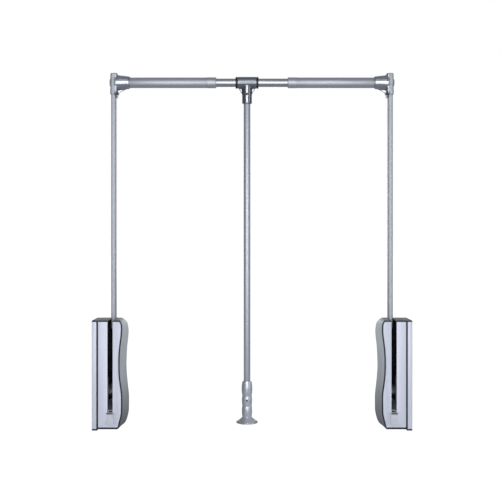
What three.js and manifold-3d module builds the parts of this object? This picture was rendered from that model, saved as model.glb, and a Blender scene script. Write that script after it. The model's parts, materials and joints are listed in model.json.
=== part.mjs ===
// Pull down closet rod: a hanging rail on two arms that swing forwards and down out of a cupboard.
// Millimetres, +Z up, +Y towards the back of the cupboard. The origin lies on the left wall,
// in line with the pivot of the arms. Each side is drawn once, with x counted from its own wall.
import * as THREE from "three";
import { mergeVertices } from "three/addons/utils/BufferGeometryUtils.js";
import Module from "manifold-3d";

const wasm = await Module();
wasm.setup();

// Overall sizes
const WIDTH = 750; // wall to wall, as shown
const PIVOT_UP = 80; // pivot above the foot of the housing
const BAR_UP = 745; // rail above the pivot
const ARM_PLANE = 43; // middle of the arm from the wall
const SWING_DEG = 111; // upright to lowered

// Clearances
const FIT = 0.3; // between pieces that are fixed together or slide
const RUN = 0.5; // beside a turning piece
const OVERRUN = 2; // what a cut passes beyond its wall
const MERGE = 0.001;

// Housing
const FRONT = 57; // cover's front ahead of the arm's middle
const BACK = 21; // housing's back behind the arm's middle
const HOUSING_HEIGHT = 259;
const HOUSING_REACH = 33.6; // from the arm's plane to the inner side, at its widest
const COVER_WALL = 2.3;
const COVER_EDGE = 1.4;
const SLOT_WIDTH = 12.5;
const SLOT_BACK_GAP = 2; // slot's end behind the arm
const RIM = 3; // cover's rim round the fascia
const RIM_GAP = 1;
const FOOT_RIM = 5; // the rim is wider under the fascia
const FASCIA_THICK = 3;
const FASCIA_PROUD = 2;
const FASCIA_EDGE = 0.6;
const GROOVE = 2.2; // fascia's edge from the cover's wall side

// Spacer on the wall
const BASE_THICK = 12.6;
const BASE_WALL = 2.6;
const BASE_GAP = 0.4; // spacer to cover
const BASE_CORNER = 2;
const BASE_TOP_DROP = 1.2; // front edge lower than the back edge
const BASE_RIB = 2;
const TRIM_INSET = 0.6;
const TRIM_WIDTH = 10.4;
const TRIM_FOOT = 4.4;
const TRIM_TOP = 3;
const FIX_HOLE = 5.5;
const FIX_BOSS = 13;
const FIX_INSET_Y = 12;
const FIX_INSET_Z = 26;
const baseRibShares = [0.2, 0.4, 0.6, 0.8];

// Chassis
const SHEET = 2.5;
const CHASSIS_FOOT = 73; // below the pivot
const CHASSIS_TOP_DROP = 19; // under the housing's top
const WEB_GAP = 2; // web behind the arm
const SEAT_UP = 46;
const SEAT_FRONT = 33;
const CHEEK_FOOT = 40;
const CHASSIS_CORNER = 6;
const LIGHT_HOLE = 17;
const LIGHT_RISE = 70;
const STOP_DROP = 40; // under the chassis's top
const STOP_DIA = 12;
const FOOT_TAB = 16;
const LIP_LONG = 10;
const LIP_DOWN = 45;
const BRACKET_DOWN = 58;

// Pivot
const PIN_DIA = 10;
const PIN_HEAD_DIA = 15;
const PIN_HEAD = 2;
const CLIP_THICK = 1;
const CLIP_DIA = 16;
const CLIP_GROOVE = 1;
const EYE_DIA = 25;

// Toothed sectors and racks
const MODULE_SIZE = 2;
const TEETH = 18; // on a full turn
const SECTOR_TEETH = 7;
const PRESSURE_DEG = 20;
const FOOT_SHARE = 1.25; // tooth root, in modules
const MESH_GAP = 0.25; // per flank
const RACK_TEETH = 8;
const RACK_BACK = 7;
const RACK_TAIL = 22;
const SPRING_GEAR_WIDTH = 14;
const DAMPER_GEAR_WIDTH = 8;

// Spring and damper
const ROD_DIA = 6;
const ROD_SINK = 8;
const WIRE = 2.5;
const COIL_DIA = 14.4; // across the wire's middle
const COILS = 12;
const CUP_DROP = 26.9; // spring's cup under the housing's top
const CUP_DIA = 17.6;
const CUP_THICK = 4;
const CUP_SPIGOT = 10;
const CUP_SPIGOT_LONG = 4;
const NUT_DIA = 10;
const NUT_LONG = 5;
const ROD_TAIL = 4;
const DAMPER_DIA = 13;
const DAMPER_LONG = 74;
const DAMPER_NECK_DIA = 9;
const DAMPER_NECK = 4;
const PISTON_DIA = 4;
const PISTON_LONG = 66;

// Arm
const ARM_THICK = 11;
const ARM_DEEP = 22;
const ARM_CORNER = 3.5;
const ARM_WALL = 1.5;
const TUBE_FOOT_DROP = 24; // tube's end under the housing's top
const TANG = 40;
const TANG_PIN_DIA = 5;
const TANG_PIN_UP = 17;
const SHANK_POCKET = 3;
const SHANK_RIM = 4;

// Buffer and its bracket
const BUFFER_WIDTH = 17;
const BUFFER_HEIGHT = 28;
const BUFFER_PROUD = 5;
const BUFFER_LIP = 1;
const BUFFER_LIP_TALL = 4;
const BUFFER_NECK_TALL = 11;
const BRACKET_SHEET = 1.6;
const BRACKET_SET = 50; // front edge ahead of the arm's middle
const BRACKET_FLANGE = 4;
const BRACKET_RAMP_GAP = 1.5;

// Elbow
const ELBOW_WIDE = 16.8;
const ELBOW_OFF = 1.5; // its middle further in than the arm's
const ELBOW_DEEP = 30;
const ELBOW_ABOVE = 21.3; // over the rail's axis
const ELBOW_BELOW = 29.6;
const ELBOW_LIP = 6.2;
const ELBOW_LIP_WIDE = 4;
const ELBOW_CORNER = 4;
const ELBOW_ROOF = 7;
const CONE_LONG = 28.6;
const CONE_BIG = 36;
const CONE_SMALL = 30;
const SOCKET_DEEP = 22.5;
const BOSS_DIA = 19;
const BOSS_PROUD = 2.7;
const BOSS_CHAMFER = 1;
const RIB = 3;
const RIB_FOOT_SHARE = 0.8;
const RIB_REACH_SHARE = 0.82;
const BOLT_DIA = 6;
const BOLT_HEAD_DIA = 10;
const BOLT_HEAD = 3;
const BOLT_SOCKET = 2.5; // half across the key
const BOLT_LONG = 33;
const PLUG_LONG = 24;

// Rail
const SLEEVE_DIA = 25;
const SLEEVE_WALL = 1.2;
const COLLAR_DIA = 25.8;
const COLLAR_LONG = 22;
const COLLAR_EDGE = 1;
const SLEEVE_END = 86; // collar's face from the middle
const SPIGOT_LONG = 17;
const BAR_DIA = 20;
const BAR_WALL = 1.2;
const BAR_LONG = 430;

// T piece and handle
const TEE_AT = -12; // from the middle
const TEE_LONG = 46.6;
const TEE_DIA = 28;
const TEE_EDGE = 1;
const TEE_LEG_DIA = 23.5;
const TEE_LEG = 51; // under the rail's axis
const TEE_LEG_EDGE = 2;
const TEE_WEB = 3;
const TEE_WEB_FOOT = 30;
const BUSH_RING = 4;
const BUSH_WALL = 2;
const BUSH_EDGE = 1.6;
const HANDLE_DIA = 16;
const HANDLE_WALL = 1.2;
const HANDLE_FOOT = 28; // tube's end under the pivot
const SCREW_DIA = 4;
const SCREW_LONG = 2.6;
const TEE_SCREW_DOWN = 28.7;
const GRIP_TOP = 27.8; // above the pivot
const GRIP_LONG = 101.3;
const GRIP_BULGE = 26;
const GRIP_FOOT_DIA = 52;
const GRIP_SCREW_DOWN = 45.3; // under the grip's top
const BASE_SCREW_DIA = 4;
const BASE_SCREW_HEAD = 8;
const BASE_SCREW_UP = 105;
const SCREW_SINK = 1.8;

// Inner side of the housing, foot to top, at the front and at the back:
// reach from the arm's plane and height above the foot, as shares of HOUSING_REACH and HOUSING_HEIGHT
const frontReachShares = [
  0.36, 0.52, 0.607, 0.667, 0.735, 0.812, 0.836, 0.836, 0.744, 0.67, 0.652, 0.667, 0.729, 0.815, 0.833, 0.786,
  0.655,
];
const frontHeightShares = [
  0.0127, 0.014, 0.033, 0.066, 0.1, 0.145, 0.193, 0.324, 0.415, 0.505, 0.595, 0.686, 0.776, 0.866, 0.93, 0.973,
  0.995,
];
const backReachShares = [
  0.24, 0.506, 0.67, 0.818, 0.923, 0.988, 1, 1, 0.929, 0.854, 0.813, 0.833, 0.875, 0.958, 0.964, 0.848, 0.506,
];
const backHeightShares = [
  0.002, 0.002, 0.01, 0.042, 0.087, 0.131, 0.181, 0.274, 0.366, 0.459, 0.554, 0.647, 0.741, 0.835, 0.896, 0.961,
  1,
];
// Grip, top to foot: shares of GRIP_LONG from its top, and of GRIP_BULGE's radius
const gripDownShares = [
  0, 0.031, 0.083, 0.177, 0.27, 0.332, 0.358, 0.4, 0.457, 0.519, 0.571, 0.594, 0.633, 0.706, 0.779, 0.825,
  0.85,
];
const gripRadiusShares = [
  0.82, 0.89, 0.95, 1, 0.96, 0.89, 0.875, 0.93, 0.955, 0.93, 0.89, 0.88, 0.93, 0.96, 0.93, 0.89, 0.885,
];
// Flared foot: shares of GRIP_LONG from the grip's top, and of GRIP_FOOT_DIA's radius
const footDownShares = [0.873, 0.895, 0.917, 0.94, 0.962, 0.977, 0.99, 1];
const footRadiusShares = [0.53, 0.63, 0.74, 0.9, 0.985, 1, 0.93, 0.72];

// Facets
const ROUND = 24;
const SMALL_ROUND = 12;
const OUTLINE_STEPS = 32;
const FLANK_STEPS = 3;
const CORNER_STEPS = 3;
const COIL_STEPS = 8;
const WIRE_SIDES = 5;

// Worked out from the sizes above
const FOOT_Z = -PIVOT_UP;
const TOP_Z = FOOT_Z + HOUSING_HEIGHT;
const CHASSIS_TOP = TOP_Z - CHASSIS_TOP_DROP;
const STOP_UP = CHASSIS_TOP - STOP_DROP;
const TUBE_FOOT = TOP_Z - TUBE_FOOT_DROP;
const FASCIA_FRONT = -FRONT - FASCIA_PROUD;
const FASCIA_REAR = FASCIA_FRONT + FASCIA_THICK;
const COVER_START = BASE_THICK + BASE_GAP;
const CHEEK_A = COVER_START + FIT;
const ARM_NEAR = ARM_PLANE - ARM_THICK / 2;
const ARM_FAR = ARM_PLANE + ARM_THICK / 2;
const WEB_Y = ARM_DEEP / 2 + WEB_GAP;
const GEAR_R = (MODULE_SIZE * TEETH) / 2;
const GEAR_TIP = GEAR_R + MODULE_SIZE;
const GEAR_ROOT = GEAR_R - FOOT_SHARE * MODULE_SIZE;
const PITCH = Math.PI * MODULE_SIZE;
const RACK_ROOT_Y = -GEAR_R - FOOT_SHARE * MODULE_SIZE;
const RACK_Y = RACK_ROOT_Y - RACK_BACK;
const SPRING_GEAR_END = ARM_NEAR - 7 * RUN;
const SPRING_GEAR_START = SPRING_GEAR_END - SPRING_GEAR_WIDTH;
const DAMPER_GEAR_START = ARM_FAR + 7 * RUN;
const DAMPER_GEAR_END = DAMPER_GEAR_START + DAMPER_GEAR_WIDTH;
const CHEEK_B = DAMPER_GEAR_END + 2 * FIT;
const SPRING_X = (SPRING_GEAR_START + SPRING_GEAR_END) / 2;
const DAMPER_X = (DAMPER_GEAR_START + DAMPER_GEAR_END) / 2 + RUN;
const ROD_Y = (RACK_ROOT_Y + RACK_Y) / 2;
const SEAT_TOP = SEAT_UP + SHEET;
const CUP_Z = TOP_Z - CUP_DROP;
const SPRING_LONG = CUP_Z - SEAT_TOP - 2 * FIT;
const SWING = THREE.MathUtils.degToRad(SWING_DEG);
const DROP = SWING - Math.PI / 2; // lowered arm under the horizontal
const BUFFER_FACE = -FASCIA_FRONT + BUFFER_PROUD;

// Height of the lowered arm's under side at a distance ahead of the pivot
function loweredArm(ahead) {
  const along = (ahead + (ARM_DEEP / 2) * Math.sin(DROP)) / Math.cos(DROP);
  return -along * Math.sin(DROP) - (ARM_DEEP / 2) * Math.cos(DROP);
}
const BUFFER_TOP = loweredArm(BUFFER_FACE) - FIT;
const SLOT_FOOT = BUFFER_TOP - BUFFER_NECK_TALL - FIT;

// Solids
function solidOf(geometry) {
  const bare = geometry.index ? geometry.toNonIndexed() : geometry.clone();
  bare.deleteAttribute("normal");
  bare.deleteAttribute("uv");
  const merged = mergeVertices(bare, MERGE);
  const from = merged.index.array;
  const kept = [];
  for (let i = 0; i < from.length; i += 3) {
    const [a, b, c] = [from[i], from[i + 1], from[i + 2]];
    if (a !== b && b !== c && a !== c) kept.push(a, b, c);
  }
  const vertProperties = new Float32Array(merged.attributes.position.array);
  const build = (list) =>
    new wasm.Manifold(new wasm.Mesh({ numProp: 3, vertProperties, triVerts: new Uint32Array(list) }));
  const made = build(kept);
  if (made.volume() > 0) return made;
  const turned = [];
  for (let i = 0; i < kept.length; i += 3) turned.push(kept[i], kept[i + 2], kept[i + 1]);
  return build(turned);
}

function geometryOf(solid) {
  const mesh = solid.getMesh();
  const geometry = new THREE.BufferGeometry();
  geometry.setAttribute("position", new THREE.BufferAttribute(new Float32Array(mesh.vertProperties), 3));
  geometry.setIndex(new THREE.BufferAttribute(new Uint32Array(mesh.triVerts), 1));
  geometry.computeVertexNormals();
  return geometry;
}

const X_AXIS = new THREE.Vector3(1, 0, 0);
const Y_AXIS = new THREE.Vector3(0, 1, 0);
const Z_AXIS = new THREE.Vector3(0, 0, 1);

function vectors(points) {
  return points.map(([a, b]) => new THREE.Vector2(a, b));
}

function extrude(points, length, holes) {
  const shape = new THREE.Shape(vectors(points));
  for (const hole of holes || []) shape.holes.push(new THREE.Path(vectors(hole)));
  return new THREE.ExtrudeGeometry(shape, { depth: length, bevelEnabled: false });
}

// Outline of y and z, extruded along x
function prismX(points, start, end, holes) {
  const geometry = extrude(points, end - start, holes);
  geometry.applyMatrix4(new THREE.Matrix4().makeBasis(Y_AXIS, Z_AXIS, X_AXIS));
  return solidOf(geometry.translate(start, 0, 0));
}

// Outline of x and z, extruded along y
function prismY(points, start, end, holes) {
  const geometry = extrude(points, end - start, holes);
  geometry.applyMatrix4(new THREE.Matrix4().makeBasis(X_AXIS, Z_AXIS, Y_AXIS.clone().negate()));
  return solidOf(geometry.translate(0, end, 0));
}

// Outline of x and y, extruded along z
function prismZ(points, start, end, holes) {
  return solidOf(extrude(points, end - start, holes).translate(0, 0, start));
}

function block(x0, x1, y0, y1, z0, z1) {
  const geometry = new THREE.BoxGeometry(x1 - x0, y1 - y0, z1 - z0);
  return solidOf(geometry.translate((x0 + x1) / 2, (y0 + y1) / 2, (z0 + z1) / 2));
}

// Profile of radius and height, turned about z
function turnZ(profile, x, y, segments) {
  const geometry = new THREE.LatheGeometry(vectors(profile), segments || ROUND);
  return solidOf(geometry.rotateX(Math.PI / 2).translate(x, y, 0));
}

// Profile of radius and length, turned about x
function turnX(profile, y, z, segments) {
  const geometry = new THREE.LatheGeometry(vectors(profile), segments || ROUND);
  return solidOf(geometry.rotateZ(-Math.PI / 2).translate(0, y, z));
}

function rodProfile(radius, start, end) {
  return [
    [0, start],
    [radius, start],
    [radius, end],
    [0, end],
  ];
}

function tubeProfile(inner, outer, start, end) {
  return [
    [inner, start],
    [outer, start],
    [outer, end],
    [inner, end],
    [inner, start],
  ];
}

function rodX(diameter, start, end, y, z, segments) {
  return turnX(rodProfile(diameter / 2, start, end), y, z, segments || SMALL_ROUND);
}

function rodZ(diameter, start, end, x, y, segments) {
  return turnZ(rodProfile(diameter / 2, start, end), x, y, segments || SMALL_ROUND);
}

function rodY(diameter, start, end, x, z, segments) {
  const geometry = new THREE.CylinderGeometry(
    diameter / 2,
    diameter / 2,
    end - start,
    segments || SMALL_ROUND,
  );
  return solidOf(geometry.translate(x, (start + end) / 2, z));
}

function roundedRect(wide, deep, radius, cx, cy) {
  const points = [];
  const corners = [
    [1, 1, 0],
    [-1, 1, 1],
    [-1, -1, 2],
    [1, -1, 3],
  ];
  for (const [sx, sy, quarter] of corners) {
    for (let i = 0; i <= CORNER_STEPS; i += 1) {
      const angle = ((quarter + i / CORNER_STEPS) * Math.PI) / 2;
      points.push([
        cx + sx * (wide / 2 - radius) + radius * Math.cos(angle),
        cy + sy * (deep / 2 - radius) + radius * Math.sin(angle),
      ]);
    }
  }
  return points;
}

// Moves each point of a closed outline towards its inside
function inset(points, amount) {
  const count = points.length;
  const area = points.reduce((sum, [a, b], i) => {
    const [c, d] = points[(i + 1) % count];
    return sum + a * d - b * c;
  }, 0);
  const side = Math.sign(area);
  return points.map(([a, b], i) => {
    const [pa, pb] = points[(i + count - 1) % count];
    const [na, nb] = points[(i + 1) % count];
    const before = new THREE.Vector2(a - pa, b - pb).normalize();
    const after = new THREE.Vector2(na - a, nb - b).normalize();
    const normal = new THREE.Vector2(-(before.y + after.y), before.x + after.x).normalize();
    const spread = Math.max(0.5, Math.sqrt((1 + before.dot(after)) / 2));
    return [a + (side * amount * normal.x) / spread, b + (side * amount * normal.y) / spread];
  });
}

// Skin through closed outlines; place turns an outline's point into one in space
function loft(outlines, place) {
  const count = outlines[0].length;
  const position = [];
  const index = [];
  outlines.forEach((outline, r) => outline.forEach((point) => position.push(...place(point, r))));
  for (let r = 0; r + 1 < outlines.length; r += 1) {
    for (let i = 0; i < count; i += 1) {
      const a = r * count + i;
      const b = r * count + ((i + 1) % count);
      index.push(a, b, a + count, b, b + count, a + count);
    }
  }
  const last = (outlines.length - 1) * count;
  const turn = THREE.ShapeUtils.isClockWise(vectors(outlines[0])) ? -1 : 1;
  const first = THREE.ShapeUtils.triangulateShape(vectors(outlines[0]), []);
  const end = THREE.ShapeUtils.triangulateShape(vectors(outlines[outlines.length - 1]), []);
  for (const [a, b, c] of first) index.push(...(turn > 0 ? [a, c, b] : [a, b, c]));
  for (const [a, b, c] of end) index.push(...(turn > 0 ? [a, b, c] : [a, c, b]).map((i) => last + i));
  const geometry = new THREE.BufferGeometry();
  geometry.setAttribute("position", new THREE.BufferAttribute(new Float32Array(position), 3));
  geometry.setIndex(index);
  return solidOf(geometry);
}

// Outlines of x and z that stand at the given y
function loftY(rings) {
  return loft(
    rings.map((ring) => ring.points),
    ([x, z], r) => [x, rings[r].y, z],
  );
}

// Outlines of x and y that lie at the given z
function loftZ(rings) {
  return loft(
    rings.map((ring) => ring.points),
    ([x, y], r) => [x, y, rings[r].z],
  );
}

function smooth(points, steps) {
  return new THREE.SplineCurve(vectors(points)).getPoints(steps).map((p) => [p.x, p.y]);
}

// Materials
function material(color, roughness, metalness) {
  return new THREE.MeshStandardMaterial({ color, roughness, metalness });
}
const silverPaint = material(0xc8ccdc, 0.38, 0.55);
const greyShell = material(0x8f979b, 0.5, 0.1);
const darkSteel = material(0x2b2c30, 0.6, 0.7);
const zincSteel = material(0xb4b7ba, 0.35, 0.9);
const armPaint = material(0xb2b6bf, 0.38, 0.7);
const elbowMetal = material(0x9aa0ab, 0.22, 0.85);
const satinTube = material(0xbfc1c9, 0.42, 0.85);
const chromeTube = material(0xe2e5ea, 0.1, 1);
const blackPlastic = material(0x1c1d20, 0.45, 0);
const palePlastic = material(0xb9c0bd, 0.55, 0);
const gripPlastic = material(0x8f98a1, 0.25, 0.5);
const oilGrey = material(0x6b7078, 0.4, 0.6);

// Inner side of the housing as an outline of x and z, closed along the wall side
function housingOutline(reaches, heights) {
  const side = reaches.map((share, i) => [
    ARM_PLANE + share * HOUSING_REACH,
    FOOT_Z + heights[i] * HOUSING_HEIGHT,
  ]);
  const curve = smooth(side, OUTLINE_STEPS);
  const foot = curve[0][1];
  const top = curve[curve.length - 1][1];
  return [[COVER_START, foot], ...curve, [COVER_START, top]];
}
const frontOutline = housingOutline(frontReachShares, frontHeightShares);
const backOutline = housingOutline(backReachShares, backHeightShares);
const DEPTH = FRONT + BACK;

// Outline of the housing at a place between its front and its back
function outlineAt(y) {
  const share = (y + FRONT) / DEPTH;
  return frontOutline.map(([x, z], i) => [
    x + (backOutline[i][0] - x) * share,
    z + (backOutline[i][1] - z) * share,
  ]);
}

// Puts an outline's wall side where it is asked for
function openTo(points, x) {
  const kept = points.map((p) => [...p]);
  kept[0][0] = x;
  kept[kept.length - 1][0] = x;
  return kept;
}
const fasciaFoot = frontOutline[0][1] + FOOT_RIM;
const fasciaOutline = openTo(
  inset(frontOutline, RIM).map(([x, z]) => [x, Math.max(z, fasciaFoot)]),
  COVER_START + GROOVE,
);

function slotCutter(rear) {
  const half = SLOT_WIDTH / 2;
  const front = FASCIA_FRONT - OVERRUN;
  return block(ARM_PLANE - half, ARM_PLANE + half, front, rear, SLOT_FOOT, TOP_Z + OVERRUN);
}

const COVER_SCREW_X = CHEEK_A + SHEET + FOOT_TAB / 2;
const COVER_SCREW_FOOT = outlineAt(0)[0][1];

// Countersunk screw, as a profile of radius and place, from its head's face
function screwProfile(head, shaft, sink, face, end) {
  return [
    [0, face],
    [head, face],
    [shaft, face + sink],
    [shaft, end],
    [0, end],
  ];
}

function cover() {
  const outer = loftY([
    { y: -FRONT, points: openTo(inset(frontOutline, COVER_EDGE), COVER_START) },
    { y: -FRONT + COVER_EDGE, points: outlineAt(-FRONT + COVER_EDGE) },
    { y: BACK - COVER_EDGE, points: outlineAt(BACK - COVER_EDGE) },
    { y: BACK, points: openTo(inset(backOutline, COVER_EDGE), COVER_START) },
  ]);
  const inside = FASCIA_REAR + FIT + COVER_WALL;
  const rear = BACK - COVER_WALL;
  const cavity = loftY([
    { y: inside, points: openTo(inset(outlineAt(inside), COVER_WALL), 0) },
    { y: rear, points: openTo(inset(outlineAt(rear), COVER_WALL), 0) },
  ]);
  const seatOutline = openTo(inset(fasciaOutline, -RIM_GAP), 0);
  const seat = loftY([
    { y: -FRONT - OVERRUN, points: seatOutline },
    { y: FASCIA_REAR + FIT, points: seatOutline },
  ]);
  const head = BASE_SCREW_HEAD / 2 + FIT;
  const shaft = BASE_SCREW_DIA / 2 + FIT;
  const profile = [
    [0, COVER_SCREW_FOOT - OVERRUN],
    [head, COVER_SCREW_FOOT - OVERRUN],
    ...screwProfile(head, shaft, SCREW_SINK, COVER_SCREW_FOOT, COVER_SCREW_FOOT + COVER_WALL + OVERRUN).slice(1),
  ];
  return outer
    .subtract(cavity)
    .subtract(seat)
    .subtract(slotCutter(ARM_DEEP / 2 + SLOT_BACK_GAP))
    .subtract(turnZ(profile, COVER_SCREW_X, 0, SMALL_ROUND));
}

function fascia() {
  const plate = loftY([
    { y: FASCIA_FRONT, points: inset(fasciaOutline, FASCIA_EDGE) },
    { y: FASCIA_FRONT + FASCIA_EDGE, points: fasciaOutline },
    { y: FASCIA_REAR, points: fasciaOutline },
  ]);
  return plate.subtract(slotCutter(FASCIA_REAR + OVERRUN));
}

// Spacer between the cupboard's wall and the chassis
const FIX_PLACES = [-FRONT + FIX_INSET_Y, BACK - FIX_INSET_Y].flatMap((y) =>
  [FOOT_Z + FIX_INSET_Z, TOP_Z - FIX_INSET_Z].map((z) => [y, z]),
);

function baseOutline(inward) {
  const front = -FRONT + inward;
  const rear = BACK - inward;
  const foot = FOOT_Z + inward;
  const top = TOP_Z - inward;
  const c = BASE_CORNER;
  return [
    [front + c, foot],
    [rear - c, foot],
    [rear, foot + c],
    [rear, top - c],
    [rear - c, top],
    [front + c, top - BASE_TOP_DROP],
    [front, top - BASE_TOP_DROP - c],
    [front, foot + c],
  ];
}

function wallBase() {
  let body = prismX(baseOutline(0), 0, BASE_THICK);
  body = body.subtract(prismX(baseOutline(BASE_WALL), BASE_WALL, BASE_THICK + OVERRUN));
  for (const [y, z] of FIX_PLACES) body = body.add(rodX(FIX_BOSS, BASE_WALL / 2, BASE_THICK, y, z));
  body = body.add(rodX(FIX_BOSS, BASE_WALL / 2, BASE_THICK, 0, BASE_SCREW_UP));
  for (const share of baseRibShares) {
    const z = FOOT_Z + share * HOUSING_HEIGHT;
    const start = -FRONT + BASE_WALL / 2;
    body = body.add(block(BASE_WALL / 2, BASE_THICK, start, BACK - BASE_WALL / 2, z, z + BASE_RIB));
  }
  for (const [y, z] of FIX_PLACES) body = body.subtract(rodX(FIX_HOLE, -OVERRUN, BASE_THICK + OVERRUN, y, z));
  const head = BASE_SCREW_HEAD / 2 + FIT;
  const shaft = BASE_SCREW_DIA / 2 + FIT;
  const profile = [
    [0, -OVERRUN],
    [head, -OVERRUN],
    ...screwProfile(head, shaft, SCREW_SINK, FIT, BASE_THICK + OVERRUN).slice(1),
  ];
  return body.subtract(turnX(profile, 0, BASE_SCREW_UP, SMALL_ROUND));
}

function baseTrim() {
  const foot = FOOT_Z + TRIM_FOOT;
  const top = TOP_Z - BASE_TOP_DROP - TRIM_TOP;
  const centre = TRIM_INSET + TRIM_WIDTH / 2;
  const outline = roundedRect(TRIM_WIDTH, top - foot, FASCIA_EDGE, centre, (foot + top) / 2);
  return loftY([
    { y: FASCIA_FRONT, points: inset(outline, FASCIA_EDGE / 2) },
    { y: FASCIA_FRONT + FASCIA_EDGE, points: outline },
    { y: -FRONT - FIT / 2, points: outline },
  ]);
}

function baseScrew() {
  const end = CHEEK_A + 2 * SHEET;
  const profile = screwProfile(BASE_SCREW_HEAD / 2, BASE_SCREW_DIA / 2, SCREW_SINK, FIT, end);
  return turnX(profile, 0, BASE_SCREW_UP, SMALL_ROUND);
}

function coverScrew() {
  const end = -CHASSIS_FOOT + 2 * SHEET;
  const profile = screwProfile(BASE_SCREW_HEAD / 2, BASE_SCREW_DIA / 2, SCREW_SINK, COVER_SCREW_FOOT, end);
  return turnZ(profile, COVER_SCREW_X, 0, SMALL_ROUND);
}

// Chassis: two cheeks and a web, with the spring's seat, the damper's plate and guides for the racks
const LIP_REAR = RACK_Y - FIT;
const LIP_FRONT = LIP_REAR - SHEET;
const CHEEK_B_END = CHEEK_B + SHEET;

function cheek(foot, top) {
  const c = CHASSIS_CORNER;
  return [
    [LIP_FRONT + c, -foot],
    [WEB_Y + SHEET, -foot],
    [WEB_Y + SHEET, top],
    [LIP_FRONT + c, top],
    [LIP_FRONT, top - c],
    [LIP_FRONT, -foot + c],
  ];
}

function chassis() {
  const webRear = WEB_Y + SHEET;
  let body = prismX(cheek(CHASSIS_FOOT, CHASSIS_TOP), CHEEK_A, CHEEK_A + SHEET);
  body = body.add(prismX(cheek(CHEEK_FOOT, SEAT_TOP), CHEEK_B, CHEEK_B_END));
  body = body.add(block(CHEEK_A, CHEEK_B_END, WEB_Y, webRear, -CHASSIS_FOOT, CHASSIS_TOP));
  body = body.add(block(CHEEK_A, ARM_NEAR - 3 * RUN, -SEAT_FRONT, webRear, SEAT_UP, SEAT_TOP));
  body = body.add(block(ARM_FAR + 3 * RUN, CHEEK_B_END, -SEAT_FRONT, webRear, SEAT_UP, SEAT_TOP));
  const guideEnd = SPRING_GEAR_START + LIP_LONG;
  body = body.add(block(CHEEK_A, guideEnd, LIP_FRONT, LIP_REAR, -LIP_DOWN, SEAT_UP));
  const guideStart = DAMPER_GEAR_END - LIP_LONG / 2;
  body = body.add(block(guideStart, CHEEK_B_END, LIP_FRONT, LIP_REAR, -CHEEK_FOOT + CHASSIS_CORNER, SEAT_UP));
  const tabEnd = CHEEK_A + SHEET + FOOT_TAB;
  body = body.add(block(CHEEK_A, tabEnd, -FOOT_TAB / 2, webRear, -CHASSIS_FOOT, -CHASSIS_FOOT + SHEET));
  body = body.add(rodY(STOP_DIA, ARM_DEEP / 2 + FIT, webRear, ARM_PLANE, STOP_UP));
  body = body.subtract(rodX(PIN_DIA + 2 * FIT, 0, CHEEK_B_END + OVERRUN, 0, 0));
  body = body.subtract(rodZ(ROD_DIA + 2 * FIT, SEAT_UP - OVERRUN, SEAT_TOP + OVERRUN, SPRING_X, ROD_Y));
  body = body.subtract(rodZ(PISTON_DIA + 2 * FIT, SEAT_UP - OVERRUN, SEAT_TOP + OVERRUN, DAMPER_X, ROD_Y));
  const screwHole = BASE_SCREW_DIA + 2 * FIT;
  body = body.subtract(rodX(screwHole, 0, CHEEK_A + SHEET + OVERRUN, 0, BASE_SCREW_UP));
  for (const [y, z] of FIX_PLACES) body = body.subtract(rodX(FIX_HOLE, 0, CHEEK_A + SHEET + OVERRUN, y, z));
  const tabTop = -CHASSIS_FOOT + SHEET + OVERRUN;
  body = body.subtract(rodZ(screwHole, -CHASSIS_FOOT - OVERRUN, tabTop, COVER_SCREW_X, 0));
  for (const up of [SEAT_UP + LIGHT_RISE / 2, SEAT_UP + LIGHT_RISE]) {
    const centre = (ARM_FAR + CHEEK_B_END) / 2;
    body = body.subtract(rodY(LIGHT_HOLE / 2, WEB_Y - OVERRUN, webRear + OVERRUN, centre, up));
    body = body.subtract(rodY(LIGHT_HOLE, WEB_Y - OVERRUN, webRear + OVERRUN, SPRING_X, up));
  }
  return body;
}

// Pin through both cheeks, with a head on the inner side and a clip on the wall side
const CLIP_X = CHEEK_A + SHEET + RUN;

function pivotPin() {
  const r = PIN_DIA / 2;
  const profile = [
    [0, CHEEK_A],
    [r, CHEEK_A],
    [r, CLIP_X - FIT / 2],
    [r - CLIP_GROOVE, CLIP_X - FIT / 2],
    [r - CLIP_GROOVE, CLIP_X + CLIP_THICK + FIT / 2],
    [r, CLIP_X + CLIP_THICK + FIT / 2],
    [r, CHEEK_B_END + FIT],
    [PIN_HEAD_DIA / 2, CHEEK_B_END + FIT],
    [PIN_HEAD_DIA / 2, CHEEK_B_END + FIT + PIN_HEAD],
    [0, CHEEK_B_END + FIT + PIN_HEAD],
  ];
  return turnX(profile, 0, 0, SMALL_ROUND);
}

function pivotClip() {
  const inner = PIN_DIA / 2 - CLIP_GROOVE + FIT;
  const ring = turnX(tubeProfile(inner, CLIP_DIA / 2, CLIP_X, CLIP_X + CLIP_THICK), 0, 0, SMALL_ROUND);
  const half = inner * Math.SQRT1_2;
  return ring.subtract(block(CLIP_X - OVERRUN, CLIP_X + OVERRUN, -half, half, -CLIP_DIA, 0));
}

// Involute sector: angles run from the front (-y) towards the top (+z)
function involute(angle) {
  return Math.tan(angle) - angle;
}
const PRESSURE = THREE.MathUtils.degToRad(PRESSURE_DEG);
const GEAR_BASE = GEAR_R * Math.cos(PRESSURE);
const TOOTH_TURN = (2 * Math.PI) / TEETH;

function halfTooth(radius) {
  const slope = Math.acos(Math.min(1, GEAR_BASE / radius));
  return TOOTH_TURN / 4 + involute(PRESSURE) - involute(slope);
}

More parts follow.
